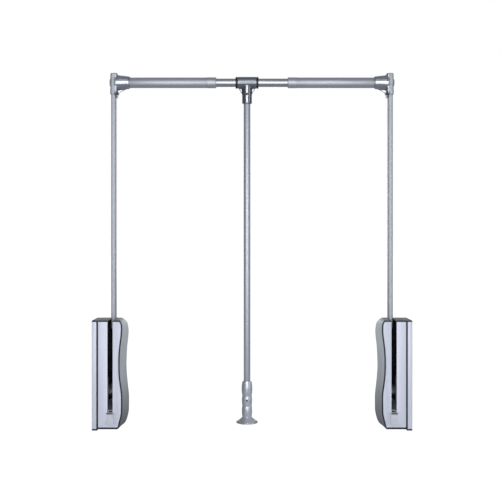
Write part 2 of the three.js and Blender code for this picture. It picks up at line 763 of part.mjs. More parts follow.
function sectorOutline() {
  const at = (radius, angle) => [-radius * Math.cos(angle), radius * Math.sin(angle)];
  const points = [[0, 0], at(GEAR_ROOT, -TOOTH_TURN)];
  for (let i = 0; i < SECTOR_TEETH; i += 1) {
    const centre = (i - 1 / 2) * TOOTH_TURN;
    const flank = [];
    for (let k = 0; k <= FLANK_STEPS; k += 1) {
      const radius = GEAR_BASE + ((GEAR_TIP - GEAR_BASE) * k) / FLANK_STEPS;
      flank.push([radius, halfTooth(radius)]);
    }
    points.push(at(GEAR_ROOT, centre - flank[0][1]));
    for (const [radius, half] of flank) points.push(at(radius, centre - half));
    for (const [radius, half] of flank.reverse()) points.push(at(radius, centre + half));
    points.push(at(GEAR_ROOT, centre + halfTooth(GEAR_BASE)));
  }
  points.push(at(GEAR_ROOT, (SECTOR_TEETH - 1) * TOOTH_TURN));
  return points;
}

function armHub() {
  const eyeStart = CLIP_X + CLIP_THICK + RUN;
  let body = rodX(EYE_DIA, eyeStart, DAMPER_GEAR_END, 0, 0, ROUND);
  body = body.add(prismX(sectorOutline(), SPRING_GEAR_START, SPRING_GEAR_END));
  body = body.add(prismX(sectorOutline(), DAMPER_GEAR_START, DAMPER_GEAR_END));
  body = body.add(prismZ(roundedRect(ARM_THICK, ARM_DEEP, ARM_CORNER, ARM_PLANE, 0), 0, TUBE_FOOT - FIT));
  const thin = ARM_THICK - 2 * ARM_WALL - 2 * FIT;
  const deep = ARM_DEEP - 2 * ARM_WALL - 2 * FIT;
  const tangCorner = ARM_CORNER - ARM_WALL;
  body = body.add(prismZ(roundedRect(thin, deep, tangCorner, ARM_PLANE, 0), 0, TUBE_FOOT + TANG));
  const wide = ARM_DEEP - 2 * SHANK_RIM;
  const low = EYE_DIA / 2 + SHANK_RIM;
  const high = TUBE_FOOT - 2 * SHANK_RIM;
  const pocket = roundedRect(wide, high - low, SHANK_RIM, 0, (low + high) / 2);
  body = body.subtract(prismX(pocket, ARM_NEAR - OVERRUN, ARM_NEAR + SHANK_POCKET));
  body = body.subtract(prismX(pocket, ARM_FAR - SHANK_POCKET, ARM_FAR + OVERRUN));
  const tangPin = TUBE_FOOT + TANG_PIN_UP;
  body = body.subtract(rodX(TANG_PIN_DIA + 2 * FIT, ARM_NEAR, ARM_FAR, 0, tangPin));
  return body.subtract(rodX(PIN_DIA + 2 * FIT, 0, CHEEK_B_END, 0, 0));
}

function hubPin() {
  return rodX(TANG_PIN_DIA, ARM_NEAR + FIT, ARM_FAR - FIT, 0, TUBE_FOOT + TANG_PIN_UP);
}

// Rack: teeth face the pivot, one tooth centred level with it
const RACK_LOW = (-1 - 1 / 2) * PITCH;
const RACK_HIGH = RACK_LOW + RACK_TEETH * PITCH;
const RACK_TOP = RACK_HIGH + MODULE_SIZE / 2;

function rackOutline() {
  const slope = Math.tan(PRESSURE);
  const half = PITCH / 4 - MESH_GAP / Math.cos(PRESSURE);
  const depth = FOOT_SHARE * MODULE_SIZE;
  const points = [
    [RACK_Y, RACK_TOP],
    [RACK_Y, RACK_LOW - RACK_TAIL],
    [RACK_ROOT_Y, RACK_LOW - RACK_TAIL],
  ];
  for (let i = 0; i < RACK_TEETH; i += 1) {
    const centre = (i - 1) * PITCH;
    const root = half + depth * slope;
    const tip = half - MODULE_SIZE * slope;
    const tipY = -GEAR_R + MODULE_SIZE;
    points.push([RACK_ROOT_Y, centre - root], [tipY, centre - tip], [tipY, centre + tip]);
    points.push([RACK_ROOT_Y, centre + root]);
  }
  points.push([RACK_ROOT_Y, RACK_TOP]);
  return points;
}

function springRack() {
  const body = prismX(rackOutline(), SPRING_GEAR_START, SPRING_GEAR_END);
  const hole = ROD_DIA / 2 + FIT;
  const sink = RACK_TOP - ROD_SINK;
  return body.subtract(rodZ(2 * hole, sink - FIT, RACK_TOP + OVERRUN, SPRING_X, ROD_Y));
}

function springRod() {
  const top = CUP_Z + CUP_THICK + NUT_LONG + ROD_TAIL;
  return rodZ(ROD_DIA, RACK_TOP - ROD_SINK, top, SPRING_X, ROD_Y);
}

function springCup() {
  const bore = ROD_DIA / 2 + FIT;
  const nutFoot = CUP_Z + CUP_THICK;
  const profile = [
    [bore, CUP_Z - CUP_SPIGOT_LONG],
    [CUP_SPIGOT / 2, CUP_Z - CUP_SPIGOT_LONG],
    [CUP_SPIGOT / 2, CUP_Z],
    [CUP_DIA / 2, CUP_Z],
    [CUP_DIA / 2, nutFoot],
    [bore, nutFoot],
    [bore, CUP_Z - CUP_SPIGOT_LONG],
  ];
  const nut = turnZ(tubeProfile(bore, NUT_DIA / 2, nutFoot - FIT, nutFoot + NUT_LONG), SPRING_X, ROD_Y, 6);
  const clear = rodZ(2 * bore, nutFoot - OVERRUN, nutFoot + NUT_LONG + OVERRUN, SPRING_X, ROD_Y);
  return turnZ(profile, SPRING_X, ROD_Y, SMALL_ROUND).add(nut).subtract(clear);
}

// Coil as one unbroken tube, and the least gap between its turns
function returnSpring() {
  const low = SEAT_TOP + FIT + WIRE / 2;
  const rise = SPRING_LONG - WIRE;
  const steps = COILS * COIL_STEPS;
  const radius = COIL_DIA / 2;
  const centreAt = (turn) =>
    new THREE.Vector3(
      SPRING_X + radius * Math.cos(2 * Math.PI * turn),
      ROD_Y + radius * Math.sin(2 * Math.PI * turn),
      low + (rise * turn) / COILS,
    );
  const position = [];
  const index = [];
  for (let i = 0; i <= steps; i += 1) {
    const turn = i / COIL_STEPS;
    const centre = centreAt(turn);
    const out = new THREE.Vector3(Math.cos(2 * Math.PI * turn), Math.sin(2 * Math.PI * turn), 0);
    const along = new THREE.Vector3(-out.y, out.x, rise / COILS / (2 * Math.PI * radius)).normalize();
    const up = new THREE.Vector3().crossVectors(out, along).negate();
    for (let k = 0; k < WIRE_SIDES; k += 1) {
      const angle = (2 * Math.PI * k) / WIRE_SIDES;
      const point = centre.clone();
      point.addScaledVector(out, (WIRE / 2) * Math.cos(angle));
      point.addScaledVector(up, (WIRE / 2) * Math.sin(angle));
      position.push(point.x, point.y, point.z);
    }
  }
  for (let i = 0; i < steps; i += 1) {
    for (let k = 0; k < WIRE_SIDES; k += 1) {
      const a = i * WIRE_SIDES + k;
      const b = i * WIRE_SIDES + ((k + 1) % WIRE_SIDES);
      index.push(a, b, a + WIRE_SIDES, b, b + WIRE_SIDES, a + WIRE_SIDES);
    }
  }
  const last = steps * WIRE_SIDES;
  for (let k = 1; k + 1 < WIRE_SIDES; k += 1) {
    index.push(0, k + 1, k, last, last + k, last + k + 1);
  }
  let least = Infinity;
  for (let i = 0; i <= steps; i += 1) {
    for (let j = i + COIL_STEPS / 2; j <= steps; j += 1) {
      const apart = centreAt(i / COIL_STEPS).distanceTo(centreAt(j / COIL_STEPS));
      least = Math.min(least, apart - WIRE);
    }
  }
  const geometry = new THREE.BufferGeometry();
  geometry.setAttribute("position", new THREE.BufferAttribute(new Float32Array(position), 3));
  geometry.setIndex(index);
  return { solid: solidOf(geometry), least };
}

function damperBody() {
  const bore = PISTON_DIA / 2 + FIT;
  const foot = SEAT_TOP + FIT;
  const top = foot + DAMPER_LONG;
  const deep = RACK_TOP + PISTON_LONG + FIT;
  const profile = [
    [bore, foot],
    [DAMPER_DIA / 2, foot],
    [DAMPER_DIA / 2, top - DAMPER_NECK],
    [DAMPER_NECK_DIA / 2, top],
    [0, top],
    [0, deep],
    [bore, deep],
    [bore, foot],
  ];
  return turnZ(profile, DAMPER_X, ROD_Y, SMALL_ROUND);
}

function damperRack() {
  const body = prismX(rackOutline(), DAMPER_GEAR_START, DAMPER_GEAR_END);
  return body.add(rodZ(PISTON_DIA, RACK_TOP - ROD_SINK, RACK_TOP + PISTON_LONG, DAMPER_X, ROD_Y));
}

// Bracket under the lowered arm, and the buffer in the slot's foot
function stopBracket() {
  const near = ARM_NEAR - 2 * RUN - BRACKET_SHEET;
  const far = ARM_FAR + 2 * RUN;
  const rear = WEB_Y - FIT;
  const top = -EYE_DIA / 2 - 3 * RUN;
  const foot = -BRACKET_DOWN;
  const side = [
    [-BRACKET_SET, foot],
    [rear, foot],
    [rear, top],
    [-BRACKET_SET + CHASSIS_CORNER, top],
    [-BRACKET_SET, top - CHASSIS_CORNER],
  ];
  let body = prismX(side, near, near + BRACKET_SHEET);
  body = body.add(prismX(side, far, far + BRACKET_SHEET));
  const lip = loweredArm(BRACKET_SET) - BRACKET_RAMP_GAP;
  const front = -BRACKET_SET + BRACKET_SHEET;
  body = body.add(block(near, near + BRACKET_FLANGE, -BRACKET_SET, front, foot, lip));
  body = body.add(block(far + BRACKET_SHEET - BRACKET_FLANGE, far + BRACKET_SHEET, -BRACKET_SET, front, foot, lip));
  const rampRear = GEAR_R;
  const ramp = [
    [-BRACKET_SET, lip],
    [-BRACKET_SET, lip - BRACKET_SHEET],
    [-rampRear, loweredArm(rampRear) - BRACKET_RAMP_GAP - BRACKET_SHEET],
    [-rampRear, loweredArm(rampRear) - BRACKET_RAMP_GAP],
  ];
  body = body.add(prismX(ramp, near + BRACKET_SHEET / 2, far + BRACKET_SHEET / 2));
  return body.add(block(near + BRACKET_SHEET / 2, far + BRACKET_SHEET / 2, rear - BRACKET_SHEET, rear, foot, top));
}

function buffer() {
  const half = BUFFER_WIDTH / 2;
  const low = BUFFER_TOP - BUFFER_HEIGHT;
  const face = -BUFFER_FACE;
  const outline = roundedRect(BUFFER_WIDTH, BUFFER_HEIGHT, BUFFER_LIP, ARM_PLANE, (low + BUFFER_TOP) / 2);
  let body = loftY([
    { y: face, points: inset(outline, BUFFER_LIP / 2) },
    { y: face + BUFFER_LIP, points: outline },
    { y: FASCIA_FRONT - FIT, points: outline },
  ]);
  const lipLow = BUFFER_TOP - BUFFER_LIP_TALL;
  const lip = [
    [ARM_PLANE - half, lipLow],
    [ARM_PLANE + half, lipLow],
    [ARM_PLANE + half + BUFFER_LIP, BUFFER_TOP - BUFFER_LIP],
    [ARM_PLANE + half + BUFFER_LIP, BUFFER_TOP],
    [ARM_PLANE - half - BUFFER_LIP, BUFFER_TOP],
    [ARM_PLANE - half - BUFFER_LIP, BUFFER_TOP - BUFFER_LIP],
  ];
  body = body.add(prismY(lip, face, FASCIA_FRONT - FIT));
  const neck = SLOT_WIDTH / 2 - FIT;
  const neckRear = -BRACKET_SET - FIT;
  const neckTop = BUFFER_TOP - FIT;
  return body.add(block(ARM_PLANE - neck, ARM_PLANE + neck, face + BUFFER_LIP, neckRear, SLOT_FOOT + FIT, neckTop));
}

// Arm tube and elbow
const ELBOW_MID = ARM_PLANE + ELBOW_OFF;
const ELBOW_END = ELBOW_MID + ELBOW_WIDE / 2;
const CONE_END = ELBOW_END + CONE_LONG;
const SLEEVE_START = CONE_END - SOCKET_DEEP + FIT;
const TUBE_TOP = BAR_UP + ELBOW_ABOVE - ELBOW_ROOF - FIT;
const BOSS_FACE = ELBOW_MID - ELBOW_WIDE / 2 - BOSS_PROUD;

function armTube() {
  const thin = ARM_THICK - 2 * ARM_WALL;
  const deep = ARM_DEEP - 2 * ARM_WALL;
  const hollow = roundedRect(thin, deep, ARM_CORNER - ARM_WALL, ARM_PLANE, 0);
  const outline = roundedRect(ARM_THICK, ARM_DEEP, ARM_CORNER, ARM_PLANE, 0);
  const body = prismZ(outline, TUBE_FOOT, TUBE_TOP, [hollow.reverse()]);
  const pinHole = rodX(TANG_PIN_DIA + 2 * FIT, ARM_NEAR - OVERRUN, ARM_FAR + OVERRUN, 0, TUBE_FOOT + TANG_PIN_UP);
  const boltHole = rodX(BOLT_DIA + 2 * FIT, ARM_NEAR - OVERRUN, ARM_FAR + OVERRUN, 0, BAR_UP);
  return body.subtract(pinHole).subtract(boltHole);
}

function elbowRibs() {
  const root = ELBOW_END - ELBOW_CORNER;
  const reach = ELBOW_END + CONE_LONG * RIB_REACH_SHARE;
  const coneAt = CONE_BIG / 2 - ((CONE_BIG - CONE_SMALL) / 2) * RIB_REACH_SHARE;
  const foot = BAR_UP - ELBOW_BELOW * RIB_FOOT_SHARE - ELBOW_LIP;
  const low = new THREE.QuadraticBezierCurve(
    new THREE.Vector2(reach, BAR_UP - coneAt),
    new THREE.Vector2(ELBOW_END + ELBOW_LIP_WIDE, BAR_UP - CONE_BIG / 2 - RIB),
    new THREE.Vector2(ELBOW_END, foot),
  );
  const lower = low.getPoints(CORNER_STEPS + 2).map((p) => [p.x, p.y]);
  const upper = [
    [root, BAR_UP + ELBOW_ABOVE - ELBOW_CORNER],
    [ELBOW_END, BAR_UP + ELBOW_ABOVE - ELBOW_CORNER],
    [reach, BAR_UP + coneAt],
  ];
  return prismY([...upper, ...lower, [root, foot]], -RIB / 2, RIB / 2);
}

function elbow() {
  const outline = roundedRect(ELBOW_WIDE, ELBOW_DEEP, ELBOW_CORNER, ELBOW_MID, 0);
  const topEdge = ELBOW_CORNER / 2;
  const foot = BAR_UP - ELBOW_BELOW;
  const top = BAR_UP + ELBOW_ABOVE;
  let body = loftZ([
    { z: foot, points: inset(outline, FIT) },
    { z: foot + topEdge, points: outline },
    { z: top - topEdge, points: outline },
    { z: top, points: inset(outline, topEdge) },
  ]);
  const lipHalf = ELBOW_DEEP / 2 - ELBOW_CORNER;
  const lipStart = ELBOW_END - ELBOW_LIP_WIDE;
  body = body.add(block(lipStart, ELBOW_END, -lipHalf, lipHalf, foot - ELBOW_LIP, foot + ELBOW_LIP));
  const cone = [
    [0, ELBOW_END - ELBOW_CORNER],
    [CONE_BIG / 2, ELBOW_END - ELBOW_CORNER],
    [CONE_BIG / 2, ELBOW_END],
    [CONE_SMALL / 2, CONE_END - BOSS_CHAMFER],
    [CONE_SMALL / 2 - BOSS_CHAMFER, CONE_END],
    [0, CONE_END],
  ];
  body = body.add(turnX(cone, 0, BAR_UP)).add(elbowRibs());
  const boss = [
    [0, BOSS_FACE],
    [BOSS_DIA / 2 - BOSS_CHAMFER, BOSS_FACE],
    [BOSS_DIA / 2, BOSS_FACE + BOSS_CHAMFER],
    [BOSS_DIA / 2, ARM_NEAR],
    [0, ARM_NEAR],
  ];
  body = body.add(turnX(boss, 0, BAR_UP, SMALL_ROUND));
  const socket = roundedRect(ARM_THICK + 2 * FIT, ARM_DEEP + 2 * FIT, ARM_CORNER + FIT, ARM_PLANE, 0);
  body = body.subtract(prismZ(socket, foot - ELBOW_LIP - OVERRUN, top - ELBOW_ROOF));
  body = body.subtract(rodX(SLEEVE_DIA + 2 * FIT, SLEEVE_START - FIT, CONE_END + OVERRUN, 0, BAR_UP, ROUND));
  body = body.subtract(rodX(BOLT_DIA + 2 * FIT, BOSS_FACE - OVERRUN, CONE_END, 0, BAR_UP));
  const sink = BOSS_FACE + BOLT_HEAD + 2 * FIT;
  return body.subtract(rodX(BOLT_HEAD_DIA + 2 * FIT, BOSS_FACE - OVERRUN, sink, 0, BAR_UP));
}

function elbowBolt() {
  const face = BOSS_FACE + FIT;
  const profile = [
    [0, face],
    [BOLT_HEAD_DIA / 2, face],
    [BOLT_HEAD_DIA / 2, face + BOLT_HEAD],
    [BOLT_DIA / 2, face + BOLT_HEAD],
    [BOLT_DIA / 2, face + BOLT_HEAD + BOLT_LONG],
    [0, face + BOLT_HEAD + BOLT_LONG],
  ];
  const key = turnX(rodProfile(BOLT_SOCKET, face - OVERRUN, face + BOLT_HEAD / 2), 0, BAR_UP, 6);
  return turnX(profile, 0, BAR_UP, SMALL_ROUND).subtract(key);
}

// Rail
const COLLAR_FACE = WIDTH / 2 - SLEEVE_END;
const COLLAR_START = COLLAR_FACE - COLLAR_LONG;
const SLEEVE_BORE = SLEEVE_DIA / 2 - SLEEVE_WALL;
const BAR_BORE = BAR_DIA / 2 + FIT;

function sleevePlug() {
  const bore = BOLT_DIA / 2 + FIT;
  return turnX(tubeProfile(bore, SLEEVE_BORE - FIT, SLEEVE_START, SLEEVE_START + PLUG_LONG), 0, BAR_UP);
}

function barSleeve() {
  return turnX(tubeProfile(SLEEVE_BORE, SLEEVE_DIA / 2, SLEEVE_START, COLLAR_START - FIT), 0, BAR_UP);
}

function sleeveBush() {
  const profile = [
    [BAR_BORE, COLLAR_START - SPIGOT_LONG],
    [SLEEVE_BORE - FIT, COLLAR_START - SPIGOT_LONG],
    [SLEEVE_BORE - FIT, COLLAR_START],
    [COLLAR_DIA / 2, COLLAR_START],
    [COLLAR_DIA / 2, COLLAR_FACE - COLLAR_EDGE],
    [COLLAR_DIA / 2 - COLLAR_EDGE, COLLAR_FACE],
    [BAR_BORE, COLLAR_FACE],
    [BAR_BORE, COLLAR_START - SPIGOT_LONG],
  ];
  return turnX(profile, 0, BAR_UP);
}

function barTube() {
  const inside = BAR_DIA / 2 - BAR_WALL;
  return turnX(tubeProfile(inside, BAR_DIA / 2, -BAR_LONG / 2, BAR_LONG / 2), 0, BAR_UP);
}

// T piece on two flanged bushes, its origin on the rail's axis
const TEE_BORE = BAR_BORE + BUSH_WALL + FIT;

function tee() {
  const half = TEE_LONG / 2;
  const barrel = [
    [0, -half],
    [TEE_DIA / 2 - TEE_EDGE, -half],
    [TEE_DIA / 2, -half + TEE_EDGE],
    [TEE_DIA / 2, half - TEE_EDGE],
    [TEE_DIA / 2 - TEE_EDGE, half],
    [0, half],
  ];
  const leg = [
    [0, -TEE_LEG],
    [TEE_LEG_DIA / 2 - TEE_LEG_EDGE, -TEE_LEG],
    [TEE_LEG_DIA / 2, -TEE_LEG + TEE_LEG_EDGE],
    [TEE_LEG_DIA / 2, 0],
    [0, 0],
  ];
  const curve = (side) =>
    new THREE.QuadraticBezierCurve(
      new THREE.Vector2(side * (half - TEE_WEB), -TEE_DIA / 2 + TEE_EDGE),
      new THREE.Vector2((side * TEE_LEG_DIA) / 2 + side * TEE_WEB, -TEE_WEB_FOOT + TEE_LEG_DIA / 2),
      new THREE.Vector2((side * TEE_LEG_DIA) / 2, -TEE_WEB_FOOT),
    )
      .getPoints(CORNER_STEPS + 2)
      .map((p) => [p.x, p.y]);
  const web = [...curve(1), ...curve(-1).reverse()];
  const teeBore = rodX(2 * TEE_BORE, -half - OVERRUN, half + OVERRUN, 0, 0, ROUND);
  const legBore = rodZ(HANDLE_DIA + 2 * FIT, -TEE_LEG - OVERRUN, -TEE_DIA / 2 - TEE_LEG_EDGE, 0, 0, ROUND);
  const screwHole = rodY(SCREW_DIA + 2 * FIT, -TEE_LEG_DIA, 0, 0, -TEE_SCREW_DOWN);
  return turnX(barrel, 0, 0)
    .add(turnZ(leg, 0, 0))
    .add(prismY(web, -TEE_WEB / 2, TEE_WEB / 2))
    .subtract(teeBore)
    .subtract(legBore)
    .subtract(screwHole);
}

function teeBush() {
  const face = TEE_LONG / 2 + FIT;
  const profile = [
    [BAR_BORE, FIT / 2],
    [BAR_BORE + BUSH_WALL, FIT / 2],
    [BAR_BORE + BUSH_WALL, face],
    [TEE_DIA / 2, face],
    [TEE_DIA / 2, face + BUSH_RING - BUSH_EDGE],
    [TEE_DIA / 2 - BUSH_EDGE, face + BUSH_RING],
    [BAR_BORE, face + BUSH_RING],
    [BAR_BORE, FIT / 2],
  ];
  return turnX(profile, 0, 0);
}

// Small screw that stands on a tube's side, seen from the front
function sideScrew(surface, z) {
  const outer = -surface - FIT - SCREW_LONG;
  const slot = block(-SCREW_DIA, SCREW_DIA, outer - OVERRUN, outer + FIT * 2, z - FIT, z + FIT);
  return rodY(SCREW_DIA, outer, -surface - FIT, 0, z).subtract(slot);
}

function handleTube() {
  const inside = HANDLE_DIA / 2 - HANDLE_WALL;
  const top = -TEE_DIA / 2 - TEE_LEG_EDGE - FIT;
  return turnZ(tubeProfile(inside, HANDLE_DIA / 2, -BAR_UP - HANDLE_FOOT, top), 0, 0);
}

function grip() {
  const top = GRIP_TOP - BAR_UP;
  const bore = HANDLE_DIA / 2 + FIT;
  const deep = -BAR_UP - HANDLE_FOOT - FIT;
  const body = gripDownShares.map((share, i) => [
    (gripRadiusShares[i] * GRIP_BULGE) / 2,
    top - share * GRIP_LONG,
  ]);
  const foot = footDownShares.map((share, i) => [
    (footRadiusShares[i] * GRIP_FOOT_DIA) / 2,
    top - share * GRIP_LONG,
  ]);
  const profile = [[0, deep], [bore, deep], [bore, top], ...body, ...foot, [0, top - GRIP_LONG]];
  const screwHole = rodY(SCREW_DIA + 2 * FIT, -GRIP_BULGE, 0, 0, top - GRIP_SCREW_DOWN);
  return turnZ(profile, 0, 0).subtract(screwHole);
}

// Assembly
const part = new THREE.Group();
function place(group, name, solid, look) {
  const mesh = new THREE.Mesh(geometryOf(solid), look);
  mesh.name = name;
  group.add(mesh);
}

const coil = returnSpring();
console.log(`least gap between the spring's turns: ${coil.least.toFixed(2)} mm`);

const sidePieces = [
  ["wall_base", wallBase(), greyShell],
  ["base_trim", baseTrim(), silverPaint],
  ["base_screw", baseScrew(), zincSteel],
  ["cover", cover(), greyShell],
  ["cover_screw", coverScrew(), zincSteel],
  ["fascia", fascia(), silverPaint],
  ["chassis", chassis(), darkSteel],
  ["pivot_pin", pivotPin(), zincSteel],
  ["pivot_clip", pivotClip(), zincSteel],
  ["arm_hub", armHub(), darkSteel],
  ["hub_pin", hubPin(), zincSteel],
  ["spring_rack", springRack(), zincSteel],
  ["spring_rod", springRod(), zincSteel],
  ["spring_cup", springCup(), darkSteel],
  ["return_spring", coil.solid, darkSteel],
  ["damper_body", damperBody(), oilGrey],
  ["damper_rack", damperRack(), zincSteel],
  ["stop_bracket", stopBracket(), zincSteel],
  ["buffer", buffer(), palePlastic],
  ["arm_tube", armTube(), armPaint],
  ["elbow", elbow(), elbowMetal],
  ["elbow_bolt", elbowBolt(), zincSteel],
  ["sleeve_plug", sleevePlug(), blackPlastic],
  ["bar_sleeve", barSleeve(), satinTube],
  ["sleeve_bush", sleeveBush(), satinTube],
];
const leftSide = new THREE.Group();
const rightSide = new THREE.Group();
rightSide.scale.x = -1;
rightSide.position.x = WIDTH;
for (const [name, solid, look] of sidePieces) {
  place(leftSide, `left_${name}`, solid, look);
  place(rightSide, `right_${name}`, solid, look);
}

const rail = new THREE.Group();
rail.position.x = WIDTH / 2;
place(rail, "bar_tube", barTube(), chromeTube);

const handle = new THREE.Group();
handle.position.set(WIDTH / 2 + TEE_AT, 0, BAR_UP);
place(handle, "tee", tee(), elbowMetal);
place(handle, "tee_bush_right", teeBush(), blackPlastic);
const leftBush = new THREE.Group();
leftBush.scale.x = -1;
place(leftBush, "tee_bush_left", teeBush(), blackPlastic);
handle.add(leftBush);
place(handle, "tee_screw", sideScrew(HANDLE_DIA / 2, -TEE_SCREW_DOWN), darkSteel);
place(handle, "handle_tube", handleTube(), armPaint);
place(handle, "grip", grip(), gripPlastic);
place(handle, "grip_screw", sideScrew(HANDLE_DIA / 2, GRIP_TOP - BAR_UP - GRIP_SCREW_DOWN), darkSteel);

part.add(leftSide, rightSide, rail, handle);
export default part;
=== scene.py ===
"""Pull down closet rod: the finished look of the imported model, in metres.

+Z runs up the folded arms, +Y to the back of the cupboard and +X along the rail."""

import json
import math

import bmesh
import bpy
from mathutils import Matrix, Vector


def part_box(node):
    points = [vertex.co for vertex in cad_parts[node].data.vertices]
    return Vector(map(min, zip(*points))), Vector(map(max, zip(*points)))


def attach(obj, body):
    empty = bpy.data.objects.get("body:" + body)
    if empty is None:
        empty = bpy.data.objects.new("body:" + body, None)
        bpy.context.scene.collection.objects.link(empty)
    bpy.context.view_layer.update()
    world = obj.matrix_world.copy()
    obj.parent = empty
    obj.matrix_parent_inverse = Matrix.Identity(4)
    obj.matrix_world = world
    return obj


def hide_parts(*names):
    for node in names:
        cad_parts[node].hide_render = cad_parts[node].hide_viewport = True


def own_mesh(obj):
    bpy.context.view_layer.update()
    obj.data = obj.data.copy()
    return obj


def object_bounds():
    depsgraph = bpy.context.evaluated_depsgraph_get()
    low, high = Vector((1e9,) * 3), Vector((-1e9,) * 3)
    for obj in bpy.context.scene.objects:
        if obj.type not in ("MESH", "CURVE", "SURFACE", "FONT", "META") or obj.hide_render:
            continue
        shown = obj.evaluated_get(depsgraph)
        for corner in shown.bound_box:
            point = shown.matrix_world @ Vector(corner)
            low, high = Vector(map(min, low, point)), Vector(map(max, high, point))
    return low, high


bl_info = {
    "name": "Pull Down Closet Rod",
    "version": (1, 0, 0),
    "blender": (4, 5, 0),
    "location": "3D View > Sidebar > Closet Rod",
    "description": "Housings, swing arms, telescopic rail and pull handle of a closet rod",
    "category": "Add Mesh",
}

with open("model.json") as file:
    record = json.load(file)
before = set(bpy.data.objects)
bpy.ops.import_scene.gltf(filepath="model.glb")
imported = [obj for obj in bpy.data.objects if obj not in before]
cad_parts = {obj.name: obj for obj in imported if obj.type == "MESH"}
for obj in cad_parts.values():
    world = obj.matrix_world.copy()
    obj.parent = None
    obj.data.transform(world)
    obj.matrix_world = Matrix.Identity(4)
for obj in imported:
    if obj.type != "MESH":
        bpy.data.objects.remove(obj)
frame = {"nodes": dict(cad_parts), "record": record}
CAD_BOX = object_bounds()
MIDDLE = (CAD_BOX[0] + CAD_BOX[1]) / 2
CAD_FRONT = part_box("left_cover")[0].y
SIDES = ("left", "right")
FULL_TURN = 2 * math.pi
MERGE = 1e-6
REACH = 0.002  # what a cutter passes beyond the piece it cuts
FIT = 0.0003  # gap between pieces that fit into each other

# Inner side of the housing from foot to top, as shares of its reach and its height
FRONT_REACH = (0.36, 0.52, 0.607, 0.667, 0.735, 0.812, 0.836, 0.836, 0.744, 0.67, 0.652, 0.667, 0.729,
               0.815, 0.833, 0.786, 0.655)
FRONT_HEIGHT = (0.0127, 0.014, 0.033, 0.066, 0.1, 0.145, 0.193, 0.324, 0.415, 0.505, 0.595, 0.686, 0.776,
                0.866, 0.93, 0.973, 0.995)
BACK_REACH = (0.24, 0.506, 0.67, 0.818, 0.923, 0.988, 1, 1, 0.929, 0.854, 0.813, 0.833, 0.875, 0.958, 0.964,
              0.848, 0.506)
BACK_HEIGHT = (0.002, 0.002, 0.01, 0.042, 0.087, 0.131, 0.181, 0.274, 0.366, 0.459, 0.554, 0.647, 0.741,
               0.835, 0.896, 0.961, 1)
# Grip from its top to its waist above the foot, then the flared foot: shares of its length and radius
GRIP_DOWN = (0, 0.031, 0.083, 0.177, 0.27, 0.332, 0.358, 0.4, 0.457, 0.519, 0.571, 0.594, 0.633, 0.706,
             0.779, 0.825, 0.85)
GRIP_RADIUS = (0.82, 0.89, 0.95, 1, 0.96, 0.89, 0.875, 0.93, 0.955, 0.93, 0.89, 0.88, 0.93, 0.96, 0.93,
               0.89, 0.885)
FOOT_DOWN = (0.873, 0.895, 0.917, 0.94, 0.962, 0.977, 0.99, 1)
FOOT_RADIUS = (0.53, 0.63, 0.74, 0.9, 0.985, 1, 0.93, 0.72)


def tint(red, green, blue):
    """An 8-bit screen colour as the scene colour that shows as it."""
    return tuple(((value / 255 + 0.055) / 1.055) ** 2.4 for value in (red, green, blue))


# Sizes and colours


def number(title, words, default, low=0, **more):
    return bpy.props.FloatProperty(name=title, description=words, default=default, min=low, **more)


def length(title, words, default):
    return number(title, words, default, unit="LENGTH", precision=4)


def colour(title, words, *screen):
    return bpy.props.FloatVectorProperty(
        name=title, description=words, default=tint(*screen), min=0, max=1, size=3, subtype="COLOR"
    )


class HousingSizes(bpy.types.PropertyGroup):
    """Sizes of the two wall housings"""

    arm_plane: length("Arm plane", "Middle of the arm from the wall", 0.043)
    reach: length("Reach", "From the arm's middle to the inner side at its widest", 0.0336)
    height: length("Height", "Height of the housing", 0.259)
    wall: length("Wall", "Wall of the cover", 0.0023)
    edge: length("Cover edge", "Rounding along the cover's front and back", 0.0014)
    rim: length("Rim", "Cover's rim round the fascia", 0.003)
    rim_gap: length("Rim gap", "Shadow gap between rim and fascia", 0.001)
    fascia_edge: length("Fascia edge", "Rounding of the fascia's front", 0.0007)
    slot: length("Slot", "Width of the arm's slot", 0.0125)
    buffer_edge: length("Buffer edge", "Rounding of the buffer", 0.0009)


class ArmSizes(bpy.types.PropertyGroup):
    """Sizes of the swing arms and their elbows"""

    corner: length("Corner", "Rounding of the arm tube's corners", 0.0035)
    wall: length("Wall", "Wall of the arm tube", 0.0015)
    elbow_wide: length("Elbow width", "Width of the elbow's body along the rail", 0.0168)
    elbow_deep: length("Elbow depth", "Depth of the elbow's body", 0.030)
    boss_proud: length("Boss height", "Boss beyond the elbow's body", 0.0027)
    lip: length("Lip", "What the lip stands under the elbow's body", 0.0062)
    elbow_corner: length("Elbow corner", "Rounding of the elbow's upright edges", 0.004)
    elbow_roof: length("Elbow roof", "Metal over the arm tube's end", 0.007)
    boss: length("Boss", "Diameter of the boss round the bolt", 0.019)
    cone_big: length("Cone, big end", "Diameter of the socket at the elbow", 0.036)
    cone_small: length("Cone, small end", "Diameter of the socket at its mouth", 0.030)
    rib: length("Rib", "Thickness of the ribs over and under the socket", 0.003)
    grain: length("Fillets", "Size of the fillets where the casting's forms meet", 0.0008)


class RailSizes(bpy.types.PropertyGroup):
    """Sizes of the telescopic rail"""

    sleeve_wall: length("Sleeve wall", "Wall of the outer tubes", 0.0012)
    bar_wall: length("Bar wall", "Wall of the inner tube", 0.0012)
    tube_edge: length("Tube edge", "Rounding of the tubes' cut ends", 0.0003)
    collar_edge: length("Collar edge", "Rounding of the collar's open end", 0.0011)


